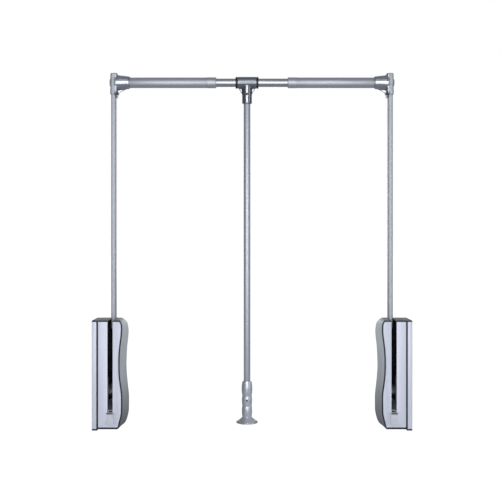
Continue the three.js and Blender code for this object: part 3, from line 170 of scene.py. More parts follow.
class HandleSizes(bpy.types.PropertyGroup):
    """Sizes of the T piece, handle tube and grip"""

    barrel: length("Barrel", "Diameter of the T piece round the rail", 0.028)
    leg: length("Leg", "Diameter of the T piece round the handle tube", 0.0235)
    web: length("Web", "Thickness of the T piece's curved webs", 0.003)
    grip: length("Grip", "Largest diameter of the grip's waves", 0.026)
    foot: length("Grip foot", "Diameter of the grip's flared foot", 0.052)
    hole: length("Screw hole", "Diameter of the hole over the grip's grub screw", 0.0046)
    tee_hole: length("T hole", "Diameter of the hole over the T piece's grub screw", 0.0056)


class FinishColours(bpy.types.PropertyGroup):
    """Colours of the finishes"""

    silver_paint: colour("Silver paint", "Fascia and trim strip", 216, 221, 239)
    grey_shell: colour("Grey shell", "Cover and spacer", 197, 206, 214)
    # painted shade: dark navy for the shadow gap round the fascia and trim and for the dark inside the
    # housings
    shell_rim: colour("Shell rim", "Front edge of cover and spacer", 22, 26, 46)
    arm_paint: colour("Arm paint", "Arm tubes and handle tube", 170, 175, 184)
    elbow_metal: colour("Cast metal", "Elbows and T piece", 168, 173, 181)
    satin_tube: colour("Satin aluminium", "Outer tubes of the rail", 179, 182, 189)
    bush_plastic: colour("Collar plastic", "Collars at the sleeves' ends", 179, 182, 189)
    chrome_tube: colour("Chrome", "Inner tube of the rail", 182, 186, 192)
    black_plastic: colour("Black plastic", "Bushes and plugs", 30, 31, 36)
    pale_plastic: colour("Pale nylon", "Buffers", 206, 214, 224)
    grip_plastic: colour("Grip plastic", "Grip", 200, 208, 217)
    zinc_steel: colour("Zinc steel", "Screws, pins, racks and brackets", 176, 180, 186)
    dark_steel: colour("Dark steel", "Chassis, hubs and springs", 30, 31, 35)
    damper_paint: colour("Damper paint", "Damper bodies", 92, 96, 103)


class StudioSettings(bpy.types.PropertyGroup):
    """Light, floor and camera"""

    floor: length("Floor", "Floor under the pivots", 0.9)
    distance: length("Distance", "Camera in front of the arms' plane", 2.059)
    lens: number("Lens", "Focal length", 61.63, 1, unit="CAMERA")
    ambient: number("Ambient", "Light from all round", 0.43)
    key: number("Key light", "Power of the soft lights in front and behind", 7, unit="POWER")
    fill: number("Fill light", "Power of each light at the side", 7, unit="POWER")
    windows: number("Windows", "Brightness of the lights that metal reflects", 2.5)
    flags: colour("Flags", "Cards that metal reflects", 145, 148, 154)


GROUPS = ("housing", "arm", "rail", "handle", "colours", "studio")


class ClosetRodSettings(bpy.types.PropertyGroup):
    """All sizes and colours of the closet rod"""

    housing: bpy.props.PointerProperty(type=HousingSizes)
    arm: bpy.props.PointerProperty(type=ArmSizes)
    rail: bpy.props.PointerProperty(type=RailSizes)
    handle: bpy.props.PointerProperty(type=HandleSizes)
    colours: bpy.props.PointerProperty(type=FinishColours)
    studio: bpy.props.PointerProperty(type=StudioSettings)


# Node trees


class Wire:
    """An output socket. Arithmetic on it adds Math nodes to its tree."""

    def __init__(self, tree, socket):
        self.tree = tree
        self.socket = socket

    def worked(self, operation, *values):
        return self.tree.node("Math", {"operation": operation}, dict(enumerate(values)))

    def __add__(self, other):
        return self.worked("ADD", self, other)

    def __sub__(self, other):
        return self.worked("SUBTRACT", self, other)

    def __rsub__(self, other):
        return self.worked("SUBTRACT", other, self)

    def __mul__(self, other):
        return self.worked("MULTIPLY", self, other)

    def most(self, other):
        return self.worked("MAXIMUM", self, other)

    __radd__ = __add__
    __rmul__ = __mul__


class Tree:
    """The nodes of a material or of the world."""

    def __init__(self, owner):
        owner.use_nodes = True
        self.nodes = owner.node_tree.nodes
        self.links = owner.node_tree.links
        self.nodes.clear()

    def node(self, kind, settings=None, sockets=None, out=0):
        made = self.nodes.new("ShaderNode" + kind)
        for name, value in (settings or {}).items():
            if name == "stops":
                ramp = made.color_ramp.elements
                while len(ramp) < len(value):
                    ramp.new(1)
                for stop, (at, level) in zip(ramp, value):
                    stop.position = at
                    stop.color = (level, level, level, 1)
            else:
                setattr(made, name, value)
        for name, value in (sockets or {}).items():
            if isinstance(value, Wire):
                self.links.new(value.socket, made.inputs[name])
            else:
                made.inputs[name].default_value = value
        return Wire(self, made.outputs[out]) if made.outputs else None

    def mixed(self, share, first, second):
        """A colour between two others."""
        sockets = {0: share, 6: first, 7: second}
        return self.node("Mix", {"data_type": "RGBA"}, sockets, out=2)


class Finish(Tree):
    """A material on Object coordinates, with all colours and the one of its own name."""

    def __init__(self, name, colours=None):
        self.material = bpy.data.materials.get(name) or bpy.data.materials.new(name)
        super().__init__(self.material)
        self.colours = colours
        self.tone = getattr(colours, name, None)
        self.place = self.node("TexCoord", out=3)

    def along(self, axis):
        """Place along x, y or z in metres."""
        return self.node("SeparateXYZ", {}, {"Vector": self.place}, out="xyz".index(axis))

    def away(self, x=MIDDLE.x):
        """Distance from the plane at x, to both sides."""
        return self.node("Math", {"operation": "ABSOLUTE"}, {0: self.along("x") - x})

    def noise(self, scale, detail=2.0, stretch=None):
        """Noise from 0 to 1, scale to the metre; stretch gives it other scales along x, y and z."""
        place = self.place
        if stretch:
            place = self.node("Mapping", {}, {"Vector": place, "Scale": stretch})
        return self.node("TexNoise", {}, {"Vector": place, "Scale": scale, "Detail": detail})

    def ramp(self, value, *stops):
        return self.node("ValToRGB", {"stops": stops}, {"Fac": value})

    def spread(self, noise, low=0.3):
        """Noise drawn out from its usual values to 0 and 1."""
        return self.ramp(noise, (low, 0), (1 - low, 1))

    def band(self, place, *stops):
        """A ramp whose stops are places in metres."""
        low, high = stops[0][0], stops[-1][0]
        share = (place - low) * (1 / (high - low))
        return self.ramp(share, *[((at - low) / (high - low), level) for at, level in stops])

    def shades(self, share, spread):
        """From a little darker than the finish's colour to a little lighter."""
        dark = (*[c * (1 - spread) for c in self.tone], 1)
        light = (*[min(1, c * (1 + spread)) for c in self.tone], 1)
        return self.mixed(share, dark, light)

    def toned(self, share, base, strength, tone=None):
        """The base, turning into the finish's colour or another one times a strength."""
        return self.mixed(share, base, (*[c * strength for c in tone or self.tone], 1))

    def relief(self, height, depth, under=None):
        sockets = {"Height": height, "Distance": depth, "Strength": 1.0}
        if under:
            sockets["Normal"] = under
        return self.node("Bump", {}, sockets)

    def surface(self, base, rough, metal, normal=None):
        sockets = {"Base Color": base, "Roughness": rough, "Metallic": metal}
        if normal:
            sockets["Normal"] = normal
        self.shown(self.node("BsdfPrincipled", {}, sockets))

    def shown(self, shader):
        self.node("OutputMaterial", {}, {"Surface": shader})
        return self.material


# Finishes, each named like its material; noise scales are per metre, places in metres


def silver_paint(made):
    """Satin metallic lacquer: fine flakes, a slow mottle along the plate and a trace of orange peel."""
    mottle = made.noise(38, 3, (1, 1, 0.12))
    flakes = made.noise(2600, 1)
    base = made.shades(made.spread(mottle * 0.7 + flakes * 0.3), 0.07)
    peel = made.relief(made.noise(420), 0.00001)
    made.surface(base, 0.36 + made.noise(90) * 0.1, 0.12, peel)


def grey_shell(made):
    """Moulded plastic with a spark-eroded texture, with painted shade on its top, towards its foot, on the
    inner back wall seen through the slot and along its front rim.
    """
    depth, height = made.along("y"), made.along("z")
    clouds = made.noise(14, 3)
    base = made.shades(made.spread(clouds), 0.06)
    # painted shade, darker towards the foot with a cloudy edge
    painted_foot_shade = made.band(height + clouds * 0.025, (-0.055, 1), (0.0575, 0.22), (0.145, 0))
    # painted shade on the top face
    painted_top_shade = made.band(height, (0.173, 0), (0.177, 0.86))
    base = made.toned(painted_foot_shade.most(painted_top_shade), base, 0.22)
    # painted shade on the inner back wall seen through the slot
    painted_back_wall_shade = made.band(depth, (0.017, 0), (0.0175, 1), (0.0196, 1), (0.02, 0))
    in_slot_wall = made.band(made.away(), (0.3, 0), (0.305, 1))
    base = made.toned(painted_back_wall_shade * in_slot_wall, base, 0.1, made.colours.shell_rim)
    # painted shade: the front rim darkened as the shadow gap round the fascia and trim
    rim = made.band(depth - CAD_FRONT, (0.0015, 1), (0.002375, 0))
    base = made.toned(rim, base, 1, made.colours.shell_rim)
    grain = made.relief(made.noise(1500, 3), 0.00006)
    made.surface(base, 0.44 + made.noise(300) * 0.12, 0.0, grain)


def arm_paint(made):
    """Silver grey powder coat over drawn tube; the handle tube in the middle shows more metal."""
    flakes = made.noise(2200, 1)
    streaks = made.noise(240, 2, (1, 1, 0.02))
    base = made.shades(made.spread(flakes * 0.6 + streaks * 0.4), 0.08)
    skin = made.relief(made.noise(700), 0.000012)
    drawn = made.band(made.away(), (0.03, 1), (0.05, 0))
    base = made.toned(drawn, base, 1.3)
    made.surface(base, 0.4 + made.noise(120) * 0.1, 0.35 + drawn * 0.35, skin)


def elbow_metal(made):
    """Lacquered casting with a few fine pits: the T and the cones polished, the elbows' bodies blasted, and
    painted shade on the lip under each cone.
    """
    away = made.away()
    base = made.shades(made.spread(made.noise(60, 3)), 0.1)
    tee = made.band(away, (0.035, 1), (0.05, 0))
    base = made.toned(tee, base, 0.62)
    # painted shade on the lip under each cone
    under_cone = made.band(away, (0.313, 0), (0.315, 1), (0.328, 1), (0.331, 0))
    painted_lip_shade = made.band(made.along("z"), (0.718, 1), (0.725, 0)) * under_cone
    base = made.toned(painted_lip_shade, base, 0.25)
    blasted = made.band(away, (0.324, 0), (0.327, 1))
    waves = made.relief(made.noise(120, 1), 0.00004)
    pits = made.ramp(made.noise(900), (0.22, 0), (0.3, 1))
    skin = made.relief(pits, 0.00002, waves)
    rough = 0.18 + made.noise(200) * 0.06 + blasted * 0.2
    made.surface(base, rough, 0.9 - blasted * 0.5, skin)


def satin_tube(made):
    """Anodised aluminium with die lines along the tube."""
    lines = made.noise(700, 2, (0.01, 1, 1))
    fine = made.noise(3000, 1, (0.003, 1, 1))
    base = made.shades(made.spread(lines * 0.6 + fine * 0.4, 0.32), 0.07)
    made.surface(base, 0.42 + fine * 0.1, 0.7, made.relief(lines, 0.000015))


def bush_plastic(made):
    """Silver moulded collar."""
    base = made.shades(made.noise(900, 2, (0.05, 1, 1)), 0.06)
    skin = made.relief(made.noise(600, 2, (0.05, 1, 1)), 0.00001)
    made.surface(base, 0.42 + made.noise(150) * 0.08, 0.7, skin)


def chrome_tube(made):
    """Polished chrome with hairlines from the sliding collars."""
    hairs = made.ramp(made.noise(1600, 2, (0.006, 1, 1)), (0.6, 0), (0.72, 1))
    made.surface(made.shades(1 - hairs, 0.03), 0.32 + hairs * 0.1, 1.0)


def black_plastic(made):
    """Black nylon with a faint sheen."""
    grain = made.relief(made.noise(1300), 0.00003)
    made.surface(made.shades(made.noise(220, 3), 0.25), 0.36 + made.noise(260) * 0.12, 0.0, grain)


def pale_plastic(made):
    """Milky nylon block."""
    base = made.shades(made.spread(made.noise(80, 3)), 0.05)
    grain = made.relief(made.noise(1100), 0.00003)
    made.surface(base, 0.42 + made.noise(240) * 0.1, 0.0, grain)


def grip_plastic(made):
    """Glossy metallic moulding with flow lines, with painted shade on its left side and on the foot's rim.
    """
    axis = centre_of("handle_tube").x
    flow = made.noise(45, 3, (1, 1, 0.35))
    flakes = made.noise(2400, 1)
    base = made.shades(made.spread(flow * 0.7 + flakes * 0.3), 0.05)
    # painted shade darkening the grip's left side
    left = made.band(made.along("x") - axis, (-0.011, 0.55), (0.00067, 0))
    # painted shade on the foot's flared rim
    painted_foot_rim_shade = made.band(made.away(axis), (0.015, 0), (0.02333, 0.5))
    base = made.toned(left.most(painted_foot_rim_shade), base, 0.3)
    skin = made.relief(made.noise(70, 1), 0.00003)
    made.surface(base, 0.22 + made.noise(130) * 0.05, 0.4, skin)


def zinc_steel(made):
    """Zinc plate with its cloudy bloom; with painted shade where it sits inside the housings, and darker and
    rougher near the handle.
    """
    bloom = made.noise(160, 4)
    base = made.shades(made.spread(bloom, 0.35), 0.14)
    # painted shade on the zinc parts in the housings' dark interior
    painted_housing_shade = made.band(made.along("z") + bloom * 0.0125, (0.04, 0), (0.06, 1), (0.2, 1), (0.225, 0))
    darker_near_handle = made.band(made.away(), (0.02, 1), (0.03, 0))
    base = made.toned(painted_housing_shade.most(darker_near_handle), base, 0.06)
    skin = made.relief(made.noise(900), 0.00001)
    made.surface(base, 0.28 + bloom * 0.2 + darker_near_handle * 0.3, 0.7, skin)


def dark_steel(made):
    """Phosphated steel with a film of oil, worn bright near the pivot."""
    crystals = made.noise(1200, 3)
    base = made.shades(crystals, 0.25)
    height = made.along("z") + made.noise(500) * 0.025
    worn = made.band(height, (0.01167, 0), (0.01667, 1), (0.02667, 1), (0.03333, 0))
    base = made.toned(worn, base, 1, made.colours.zinc_steel)
    made.surface(base, 0.45 + made.noise(60, 3) * 0.2, 0.25, made.relief(crystals, 0.00003))


def damper_paint(made):
    """Dark grey stove enamel."""
    peel = made.relief(made.noise(500), 0.00002)
    made.surface(made.shades(made.noise(50, 3), 0.08), 0.3 + made.noise(150) * 0.12, 0.3, peel)


FINISHES = (silver_paint, grey_shell, arm_paint, elbow_metal, satin_tube, bush_plastic, chrome_tube,
            black_plastic, pale_plastic, grip_plastic, zinc_steel, dark_steel, damper_paint)


# Shaping

BEVEL = {"offset_type": "OFFSET", "profile": 0.5, "clamp_overlap": True, "material": -1}
LAID_DOWN = {"X": Matrix.Rotation(math.pi / 2, 3, "Y"), "Y": Matrix.Rotation(-math.pi / 2, 3, "X")}


def move(bm, x=0, y=0, z=0):
    bmesh.ops.translate(bm, vec=(x, y, z), verts=bm.verts)
    return bm


def curve_through(points, steps):
    """Points on a smooth curve through the ones given."""
    ends = [points[0], *points, points[-1]]
    curve = []
    for a, b, c, d in zip(ends, ends[1:], ends[2:], ends[3:]):
        for t in [step / steps for step in range(steps)]:
            curve.append(tuple(
                0.5 * (2 * q + (r - p) * t + (2 * p - 5 * q + 4 * r - s) * t**2
                       + (3 * q - p - 3 * r + s) * t**3)
                for p, q, r, s in zip(a, b, c, d)
            ))
    return [*curve, points[-1]]


def face_of(bm, points):
    return bm.faces.new([bm.verts.new(p) for p in points])


def raised(bm, way):
    """Pushes a flat mesh along a vector into a closed solid."""
    pushed = bmesh.ops.extrude_face_region(bm, geom=bm.faces[:], use_keep_orig=True)
    moved = [v for v in pushed["geom"] if isinstance(v, bmesh.types.BMVert)]
    bmesh.ops.translate(bm, vec=way, verts=moved)
    bmesh.ops.recalc_face_normals(bm, faces=bm.faces)
    return bm


def prism(points, way):
    """A closed solid from a flat outline pushed along a vector."""
    bm = bmesh.new()
    face_of(bm, points)
    return raised(bm, way)


def block(low, high):
    bm = bmesh.new()
    low, high = Vector(low), Vector(high)
    place = Matrix.Translation((low + high) / 2) @ Matrix.Diagonal(high - low).to_4x4()
    bmesh.ops.create_cube(bm, size=1, matrix=place)
    return bm


def turned(profile, axis, centre, steps=64):
    """A profile of radius and place along, turned about the line through a centre along X, Y or Z."""
    bm = bmesh.new()
    verts = [bm.verts.new((radius, 0, along)) for radius, along in profile]
    edges = [bm.edges.new(pair) for pair in zip(verts, verts[1:])]
    bmesh.ops.spin(
        bm, geom=verts + edges, cent=(0, 0, 0), axis=(0, 0, 1), dvec=(0, 0, 0), angle=FULL_TURN,
        steps=steps, use_merge=True, use_duplicate=False,
    )
    bmesh.ops.remove_doubles(bm, verts=bm.verts, dist=MERGE)
    bmesh.ops.recalc_face_normals(bm, faces=bm.faces)
    if axis in LAID_DOWN:
        bmesh.ops.rotate(bm, cent=(0, 0, 0), matrix=LAID_DOWN[axis], verts=bm.verts)
    return move(bm, *[0 if name == axis else place for name, place in zip("XYZ", centre)])


def rod(radius, low, high, axis, centre, steps=48):
    return turned([(0, low), (radius, low), (radius, high), (0, high)], axis, centre, steps)


def tube(bore, radius, low, high, axis, centre, steps=64):
    profile = [(bore, low), (radius, low), (radius, high), (bore, high), (bore, low)]
    return turned(profile, axis, centre, steps)


def at_level(axis, level):
    """Picks the edges at a level along x, y or z."""
    return lambda edge: all(abs(getattr(v.co, axis) - level) < MERGE for v in edge.verts)


def soften(bm, width, segments, only=None, sharp=60):
    """Rounds the edges that turn by more than an angle, all of them or only some."""
    limit = math.radians(sharp)
    edges = [e for e in bm.edges
             if len(e.link_faces) == 2 and e.calc_face_angle(0) > limit and (not only or only(e))]
    bmesh.ops.bevel(bm, geom=edges, offset=width, segments=segments, affect="EDGES", **BEVEL)
    return bm


def rounded_outline(wide, deep, corner, segments=8):
    """A rectangle of x and y with round corners, as a face."""
    bm = bmesh.new()
    x, y = wide / 2, deep / 2
    face_of(bm, [(-x, -y, 0), (x, -y, 0), (x, y, 0), (-x, y, 0)])
    bmesh.ops.bevel(bm, geom=bm.verts[:], offset=corner, segments=segments, affect="VERTICES", **BEVEL)
    return bm


def joined(*parts):
    """Several meshes as one."""
    whole = bmesh.new()
    for part in parts:
        held = bpy.data.meshes.new("held")
        part.to_mesh(held)
        part.free()
        whole.from_mesh(held)
        bpy.data.meshes.remove(held)
    return whole


def new_object(bm, name):
    mesh = bpy.data.meshes.new(name)
    bm.to_mesh(mesh)
    bm.free()
    thing = bpy.data.objects.new(name, mesh)
    bpy.context.scene.collection.objects.link(thing)
    return thing


def discard(thing):
    mesh = thing.data
    bpy.data.objects.remove(thing)
    bpy.data.meshes.remove(mesh)


def settled(thing):
    """The mesh of an object with its modifiers done; the object goes."""
    bpy.context.view_layer.update()
    done = thing.evaluated_get(bpy.context.evaluated_depsgraph_get())
    bm = bmesh.new()
    bm.from_mesh(done.to_mesh())
    done.to_mesh_clear()
    discard(thing)
    return bm


def combined(bm, operation, *tools):
    """The mesh with the tools cut out of it or added to it."""
    for tool in tools:
        thing, other = new_object(bm, "loose"), new_object(tool, "tool")
        step = thing.modifiers.new("cut", "BOOLEAN")
        step.operation = operation
        step.solver = "EXACT"
        step.object = other
        bm = settled(thing)
        discard(other)
    bmesh.ops.remove_doubles(bm, verts=bm.verts, dist=MERGE)
    bmesh.ops.dissolve_degenerate(bm, dist=MERGE, edges=bm.edges)
    return bm


def cut(bm, *tools):
    return combined(bm, "DIFFERENCE", *tools)


def fused(bm, *tools):
    return combined(bm, "UNION", *tools)


def cast(bm, grain, rounds=3):
    """Runs the forms of a casting into each other with small fillets."""
    thing = new_object(bm, "casting")
    step = thing.modifiers.new("skin", "REMESH")
    step.mode = "VOXEL"
    step.voxel_size = grain
    bm = settled(thing)
    axes = {"use_axis_x": True, "use_axis_y": True, "use_axis_z": True}
    for _ in range(rounds):
        bmesh.ops.smooth_vert(bm, verts=bm.verts, factor=0.5, **axes)
    return bm


def mirrored(bm):
    """Turns a mesh of the left side into the right side's."""
    bmesh.ops.scale(bm, vec=(-1, 1, 1), verts=bm.verts)
    bmesh.ops.reverse_faces(bm, faces=bm.faces)
    return move(bm, 2 * MIDDLE.x)


def piece(bm, name, finish, body, *nodes, sharp=32):
    """Makes the mesh an object that rides on a body and stands for CAD nodes."""
    made = new_object(bm, name)
    made.data.polygons.foreach_set("use_smooth", [True] * len(made.data.polygons))
    made.data.set_sharp_from_angle(angle=math.radians(sharp))
    made.data.materials.append(bpy.data.materials[finish])
    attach(made, body)
    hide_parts(*nodes)
    return made


def on_both_sides(bm, word, node, finish, group, sharp=32):
    """The left mesh as a piece, and its mirror image on the right; group is unit, arm or rack."""
    other = mirrored(bm.copy())
    for side, mesh in zip(SIDES, (bm, other)):
        piece(mesh, f"{side}_{word}", finish, f"{side}_{group}", f"{side}_{node}", sharp=sharp)


def spans(node):
    """A node's lowest corner, highest corner and centre."""
    low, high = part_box(node)
    return low, high, (low + high) / 2


def centre_of(node):
    return spans(node)[2]


def half(node, axis):
    """Half a node's size along x, y or z."""
    low, high = [getattr(corner, axis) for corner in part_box(node)]
    return (high - low) / 2


# Housing

SCREW_HEAD = 0.0043  # radii of the holes for the housing's screws
SCREW_SHAFT = 0.0023
SCREW_SINK = 0.0018  # depth of their countersinks
NECK_TALL = 0.011  # the buffer's neck in the slot
SLOT_BEHIND = 0.002  # what the slot passes behind the arm


def housing_outline(sizes, reaches, heights, y):
    """The housing's outline at its front or its back, with its wall side straight."""
    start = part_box("left_cover")[0].x
    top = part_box("left_wall_base")[1].z
    foot = top - sizes.height
    side = [(sizes.arm_plane + r * sizes.reach, foot + h * sizes.height) for r, h in zip(reaches, heights)]
    side = [(x, y, z) for x, z in curve_through(side, 5)]
    return [(start, y, side[0][2]), *side, (start, y, side[-1][2])]


def drawn_in(bm, faces, inset, wall_side):
    """Draws outline faces in by an inset and takes their wall side to another x."""
    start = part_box("left_cover")[0].x
    bm.normal_update()
    bmesh.ops.inset_individual(bm, faces=faces, thickness=inset, use_even_offset=True)
    bmesh.ops.delete(bm, geom=[f for f in bm.faces if f not in faces], context="FACES")
    for v in bm.verts:
        if v.co.x < start + inset * 1.5:
            v.co.x = wall_side


def front_face(sizes, inset, wall_side, y):
    """The housing's front outline, drawn in by an inset, as a face at y."""
    bm = bmesh.new()
    drawn_in(bm, [face_of(bm, housing_outline(sizes, FRONT_REACH, FRONT_HEIGHT, y))], inset, wall_side)
    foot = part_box("left_fascia")[0].z + inset - sizes.rim
    for v in bm.verts:
        v.co.z = max(v.co.z, foot)
    bmesh.ops.remove_doubles(bm, verts=bm.verts, dist=MERGE)
    return bm


def housing_form(sizes, front, back, inset=0.0):
    """The solid between the front and back outlines, or the hollow within walls as thick as the inset."""
    bm = bmesh.new()
    faces = [face_of(bm, housing_outline(sizes, FRONT_REACH, FRONT_HEIGHT, front)),
             face_of(bm, housing_outline(sizes, BACK_REACH, BACK_HEIGHT, back))]
    if inset:
        drawn_in(bm, faces, inset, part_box("left_cover")[0].x - REACH)
    bmesh.ops.bridge_loops(bm, edges=bm.edges[:])
    bmesh.ops.recalc_face_normals(bm, faces=bm.faces)
    return bm


def slot_cutter(sizes, rear):
    """The arm's slot, from the buffer's neck to past the top and back to rear."""
    low, high, _ = spans("left_buffer")
    x = centre_of("left_arm_tube").x
    wide = sizes.slot / 2
    return block((x - wide, low.y - REACH, high.z - NECK_TALL), (x + wide, rear, CAD_BOX[1].z))


def sunk_hole(mouth, face, end):
    """Profile of a countersunk screw hole."""
    return [(0, mouth), (SCREW_HEAD, mouth), (SCREW_HEAD, face), (SCREW_SHAFT, face + SCREW_SINK),
            (SCREW_SHAFT, end), (0, end)]


def cover_shell(sizes):
    """Shell with a seat for the fascia in front and the arm's slot."""
    low, high, _ = spans("left_cover")
    bm = housing_form(sizes, low.y, high.y)

    def at_an_end(edge):
        ys = [v.co.y for v in edge.verts]
        on_wall_side = all(v.co.x < low.x + MERGE for v in edge.verts)
        return abs(ys[0] - ys[1]) < MERGE and not on_wall_side

    soften(bm, sizes.edge, 4, at_an_end)
    seat_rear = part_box("left_fascia")[1].y + FIT
    hollow = housing_form(sizes, seat_rear + sizes.wall, high.y - sizes.wall, sizes.wall)
    seat = front_face(sizes, sizes.rim - sizes.rim_gap, low.x - 5 * REACH, low.y - REACH)
    seat = raised(seat, (0, seat_rear - low.y + REACH, 0))
    slot = slot_cutter(sizes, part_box("left_arm_tube")[1].y + SLOT_BEHIND)
    face, _, screw = spans("left_cover_screw")
    profile = sunk_hole(face.z - REACH, face.z, face.z + 3 * REACH)
    return cut(bm, hollow, seat, slot, turned(profile, "Z", screw, 32))


def fascia_plate(sizes):
    low, high, _ = spans("left_fascia")
    bm = raised(front_face(sizes, sizes.rim, low.x, low.y), (0, high.y - low.y, 0))
    bm = cut(bm, slot_cutter(sizes, high.y + REACH))
    return soften(bm, sizes.fascia_edge, 3, at_level("y", low.y))


def trim_strip(sizes):
    return soften(block(*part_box("left_base_trim")), sizes.fascia_edge, 3)


def spacer():
    """Hollow moulding against the wall, with its ribs, four wall holes and the screw's hole."""
    low, high, _ = spans("left_wall_base")
    corner, edge, drop, wall, rib = 0.002, 0.0005, 0.0012, 0.0026, 0.002
    boss, hole, inset_y, inset_z = 0.0065, 0.00275, 0.012, 0.026
    outline = ((low.y, low.z), (high.y, low.z), (high.y, high.z), (low.y, high.z - drop))
    bm = prism([(low.x, y, z) for y, z in outline], (high.x - low.x, 0, 0))
    soften(bm, corner, 5, lambda e: abs(e.verts[0].co.x - e.verts[1].co.x) > corner)
    soften(bm, edge, 2)
    top = high.z - wall - drop
    pocket = block((low.x + wall, low.y + wall, low.z + wall), (high.x + REACH, high.y - wall, top))
    fixings = [(0, y, z) for y in (low.y + inset_y, high.y - inset_y)
               for z in (low.z + inset_z, high.z - inset_z)]
    screw = centre_of("left_base_screw")
    for place in [*fixings, screw]:
        pocket = cut(pocket, rod(boss, 0, high.x, "X", place))
    for share in (0.2, 0.4, 0.6, 0.8):
        z = low.z + share * (high.z - low.z)
        pocket = cut(pocket, block((0, low.y, z), (high.x, high.y, z + rib)))
    end = high.x + REACH
    holes = [rod(hole, -REACH, end, "X", place) for place in fixings]
    return cut(bm, pocket, *holes, turned(sunk_hole(-REACH, FIT, end), "X", screw, 32))


def buffer_block(sizes):
    """Block with a lip along its top and a neck that fills the slot's foot."""
    low, high, at = spans("left_buffer")
    lip, lip_tall, neck = 0.001, 0.004, sizes.slot / 2 - FIT
    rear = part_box("left_fascia")[0].y - FIT
    body = block((low.x + lip, low.y, low.z), (high.x - lip, rear, high.z))
    soften(body, sizes.buffer_edge, 4)
    cap = ((low.x + lip, high.z - lip_tall), (high.x - lip, high.z - lip_tall), (high.x, high.z - lip),
           (high.x, high.z), (low.x, high.z), (low.x, high.z - lip))
    cap = prism([(x, rear, z) for x, z in cap], (0, low.y - rear, 0))
    tongue = block((at.x - neck, low.y + lip, high.z - NECK_TALL + FIT),
                   (at.x + neck, high.y, high.z - FIT))
    fine = sizes.buffer_edge / 3
    return joined(body, soften(cap, fine, 2, sharp=30), soften(tongue, fine, 2))


# Arm

PIN_HOLE = 0.0028  # radii of the holes through the arm tube's ends
BOLT_HOLE = 0.0033
BOLT_SINK = 0.0053  # radius and depth of the hole for the bolt's head
BOLT_SINK_DEEP = 0.0036
RIB_REACH = 0.82  # share of the cone's length that the rib runs along


def arm_section(sizes):
    """Flat-oval tube with the holes for the hub's pin and the elbow's bolt."""
    low, high, at = spans("left_arm_tube")
    bm = rounded_outline(high.x - low.x, high.y - low.y, sizes.corner)
    middle = bm.faces[:]
    bmesh.ops.inset_region(bm, faces=middle, thickness=sizes.wall, use_even_offset=True, use_boundary=True)
    bmesh.ops.delete(bm, geom=middle, context="FACES")
    bm = raised(move(bm, at.x, at.y, low.z), (0, 0, high.z - low.z))
    ends = (low.x - REACH, high.x + REACH)
    holes = ((PIN_HOLE, centre_of("left_hub_pin")), (BOLT_HOLE, centre_of("left_elbow_bolt")))
    return cut(bm, *[rod(radius, *ends, "X", hole, 24) for radius, hole in holes])


def elbow_casting(sizes):
    """Body round the arm tube's end, cone round the sleeve, boss, lip and the rib under the cone."""
    low, high, _ = spans("left_elbow")
    tube_low, tube_high, arm = spans("left_arm_tube")
    sleeve_low, _, axis = spans("left_bar_sleeve")
    wide, side, edge = sizes.elbow_wide, sizes.elbow_deep / 2, 0.001
    start = low.x + sizes.boss_proud + wide
    foot = low.z + sizes.lip
    body = move(rounded_outline(wide, 2 * side, sizes.elbow_corner), start - wide / 2, 0, foot)
    body = soften(raised(body, (0, 0, high.z - foot)), 2 * edge, 4, at_level("z", high.z))
    big, small, root = sizes.cone_big / 2, sizes.cone_small / 2, start - 0.006
    cone = turned([(0, root), (big, root), (big, start), (small, high.x - edge), (small - edge, high.x),
                   (0, high.x)], "X", axis, 72)
    out = sizes.boss / 2
    boss = turned([(0, low.x), (out - edge, low.x), (out, low.x + edge), (out, tube_low.x),
                   (0, tube_low.x)], "X", axis, 48)
    inset, proud, tall = 0.005, 0.0008, 0.013
    step = block((start - wide - proud, inset - side, foot + edge), (arm.x, side - inset, foot + tall))
    inset = 0.004
    lip = block((start - inset, inset - side, low.z), (start, side - inset, foot + sizes.lip))
    reach = start + RIB_REACH * (high.x - start)
    radius = big - RIB_REACH * (big - small)
    under, toe = axis.z - radius, low.z + 0.002
    sag = curve_through([(reach, under + edge), (start + 0.011, under - 0.0045),
                         (start + 0.0045, under - 0.009), (start - edge, toe)], 6)
    rib = [(start - inset, high.z - inset), (start, high.z - inset), (reach, axis.z + radius - edge),
           *sag, (start - inset, toe)]
    rib = prism([(x, -sizes.rib / 2, z) for x, z in rib], (0, sizes.rib, 0))
    bm = cast(fused(body, cone, boss, step, lip, rib), sizes.grain)
    room = [b - a + 2 * FIT for a, b in zip(tube_low.xy, tube_high.xy)]
    hollow = move(rounded_outline(*room, sizes.corner + FIT), arm.x, 0, low.z - REACH)
    hollow = raised(hollow, (0, 0, high.z - sizes.elbow_roof - low.z + REACH))
    mouth = low.x - REACH
    bore = half("left_bar_sleeve", "z") + FIT
    socket = rod(bore, sleeve_low.x - FIT, high.x + REACH, "X", axis, 72)
    shaft = rod(BOLT_HOLE, mouth, sleeve_low.x + REACH, "X", axis, 32)
    sink = rod(BOLT_SINK, mouth, low.x + BOLT_SINK_DEEP, "X", axis, 48)
    return cut(bm, hollow, socket, shaft, sink)


def bolt_with_key():
    """The elbow's bolt with a hexagon socket in its head."""
    low, high, at = spans("left_elbow_bolt")
    head, head_tall, radius, key, key_deep, edge = 0.005, 0.003, 0.003, 0.0029, 0.0018, 0.0004
    under = low.x + head_tall
    bm = turned([(0, low.x), (head, low.x), (head, under), (radius, under), (radius, high.x), (0, high.x)],
                "X", at, 48)
    return cut(soften(bm, edge, 2), rod(key, low.x - REACH, low.x + key_deep, "X", at, 6))


# Rail

COLLAR_LONG = 0.022  # outside the sleeve


def rail_tube(node, wall, edge):
    low, high, at = spans(node)
    radius = half(node, "z")
    return soften(tube(radius - wall, radius, low.x, high.x, "X", at, 96), edge, 2)


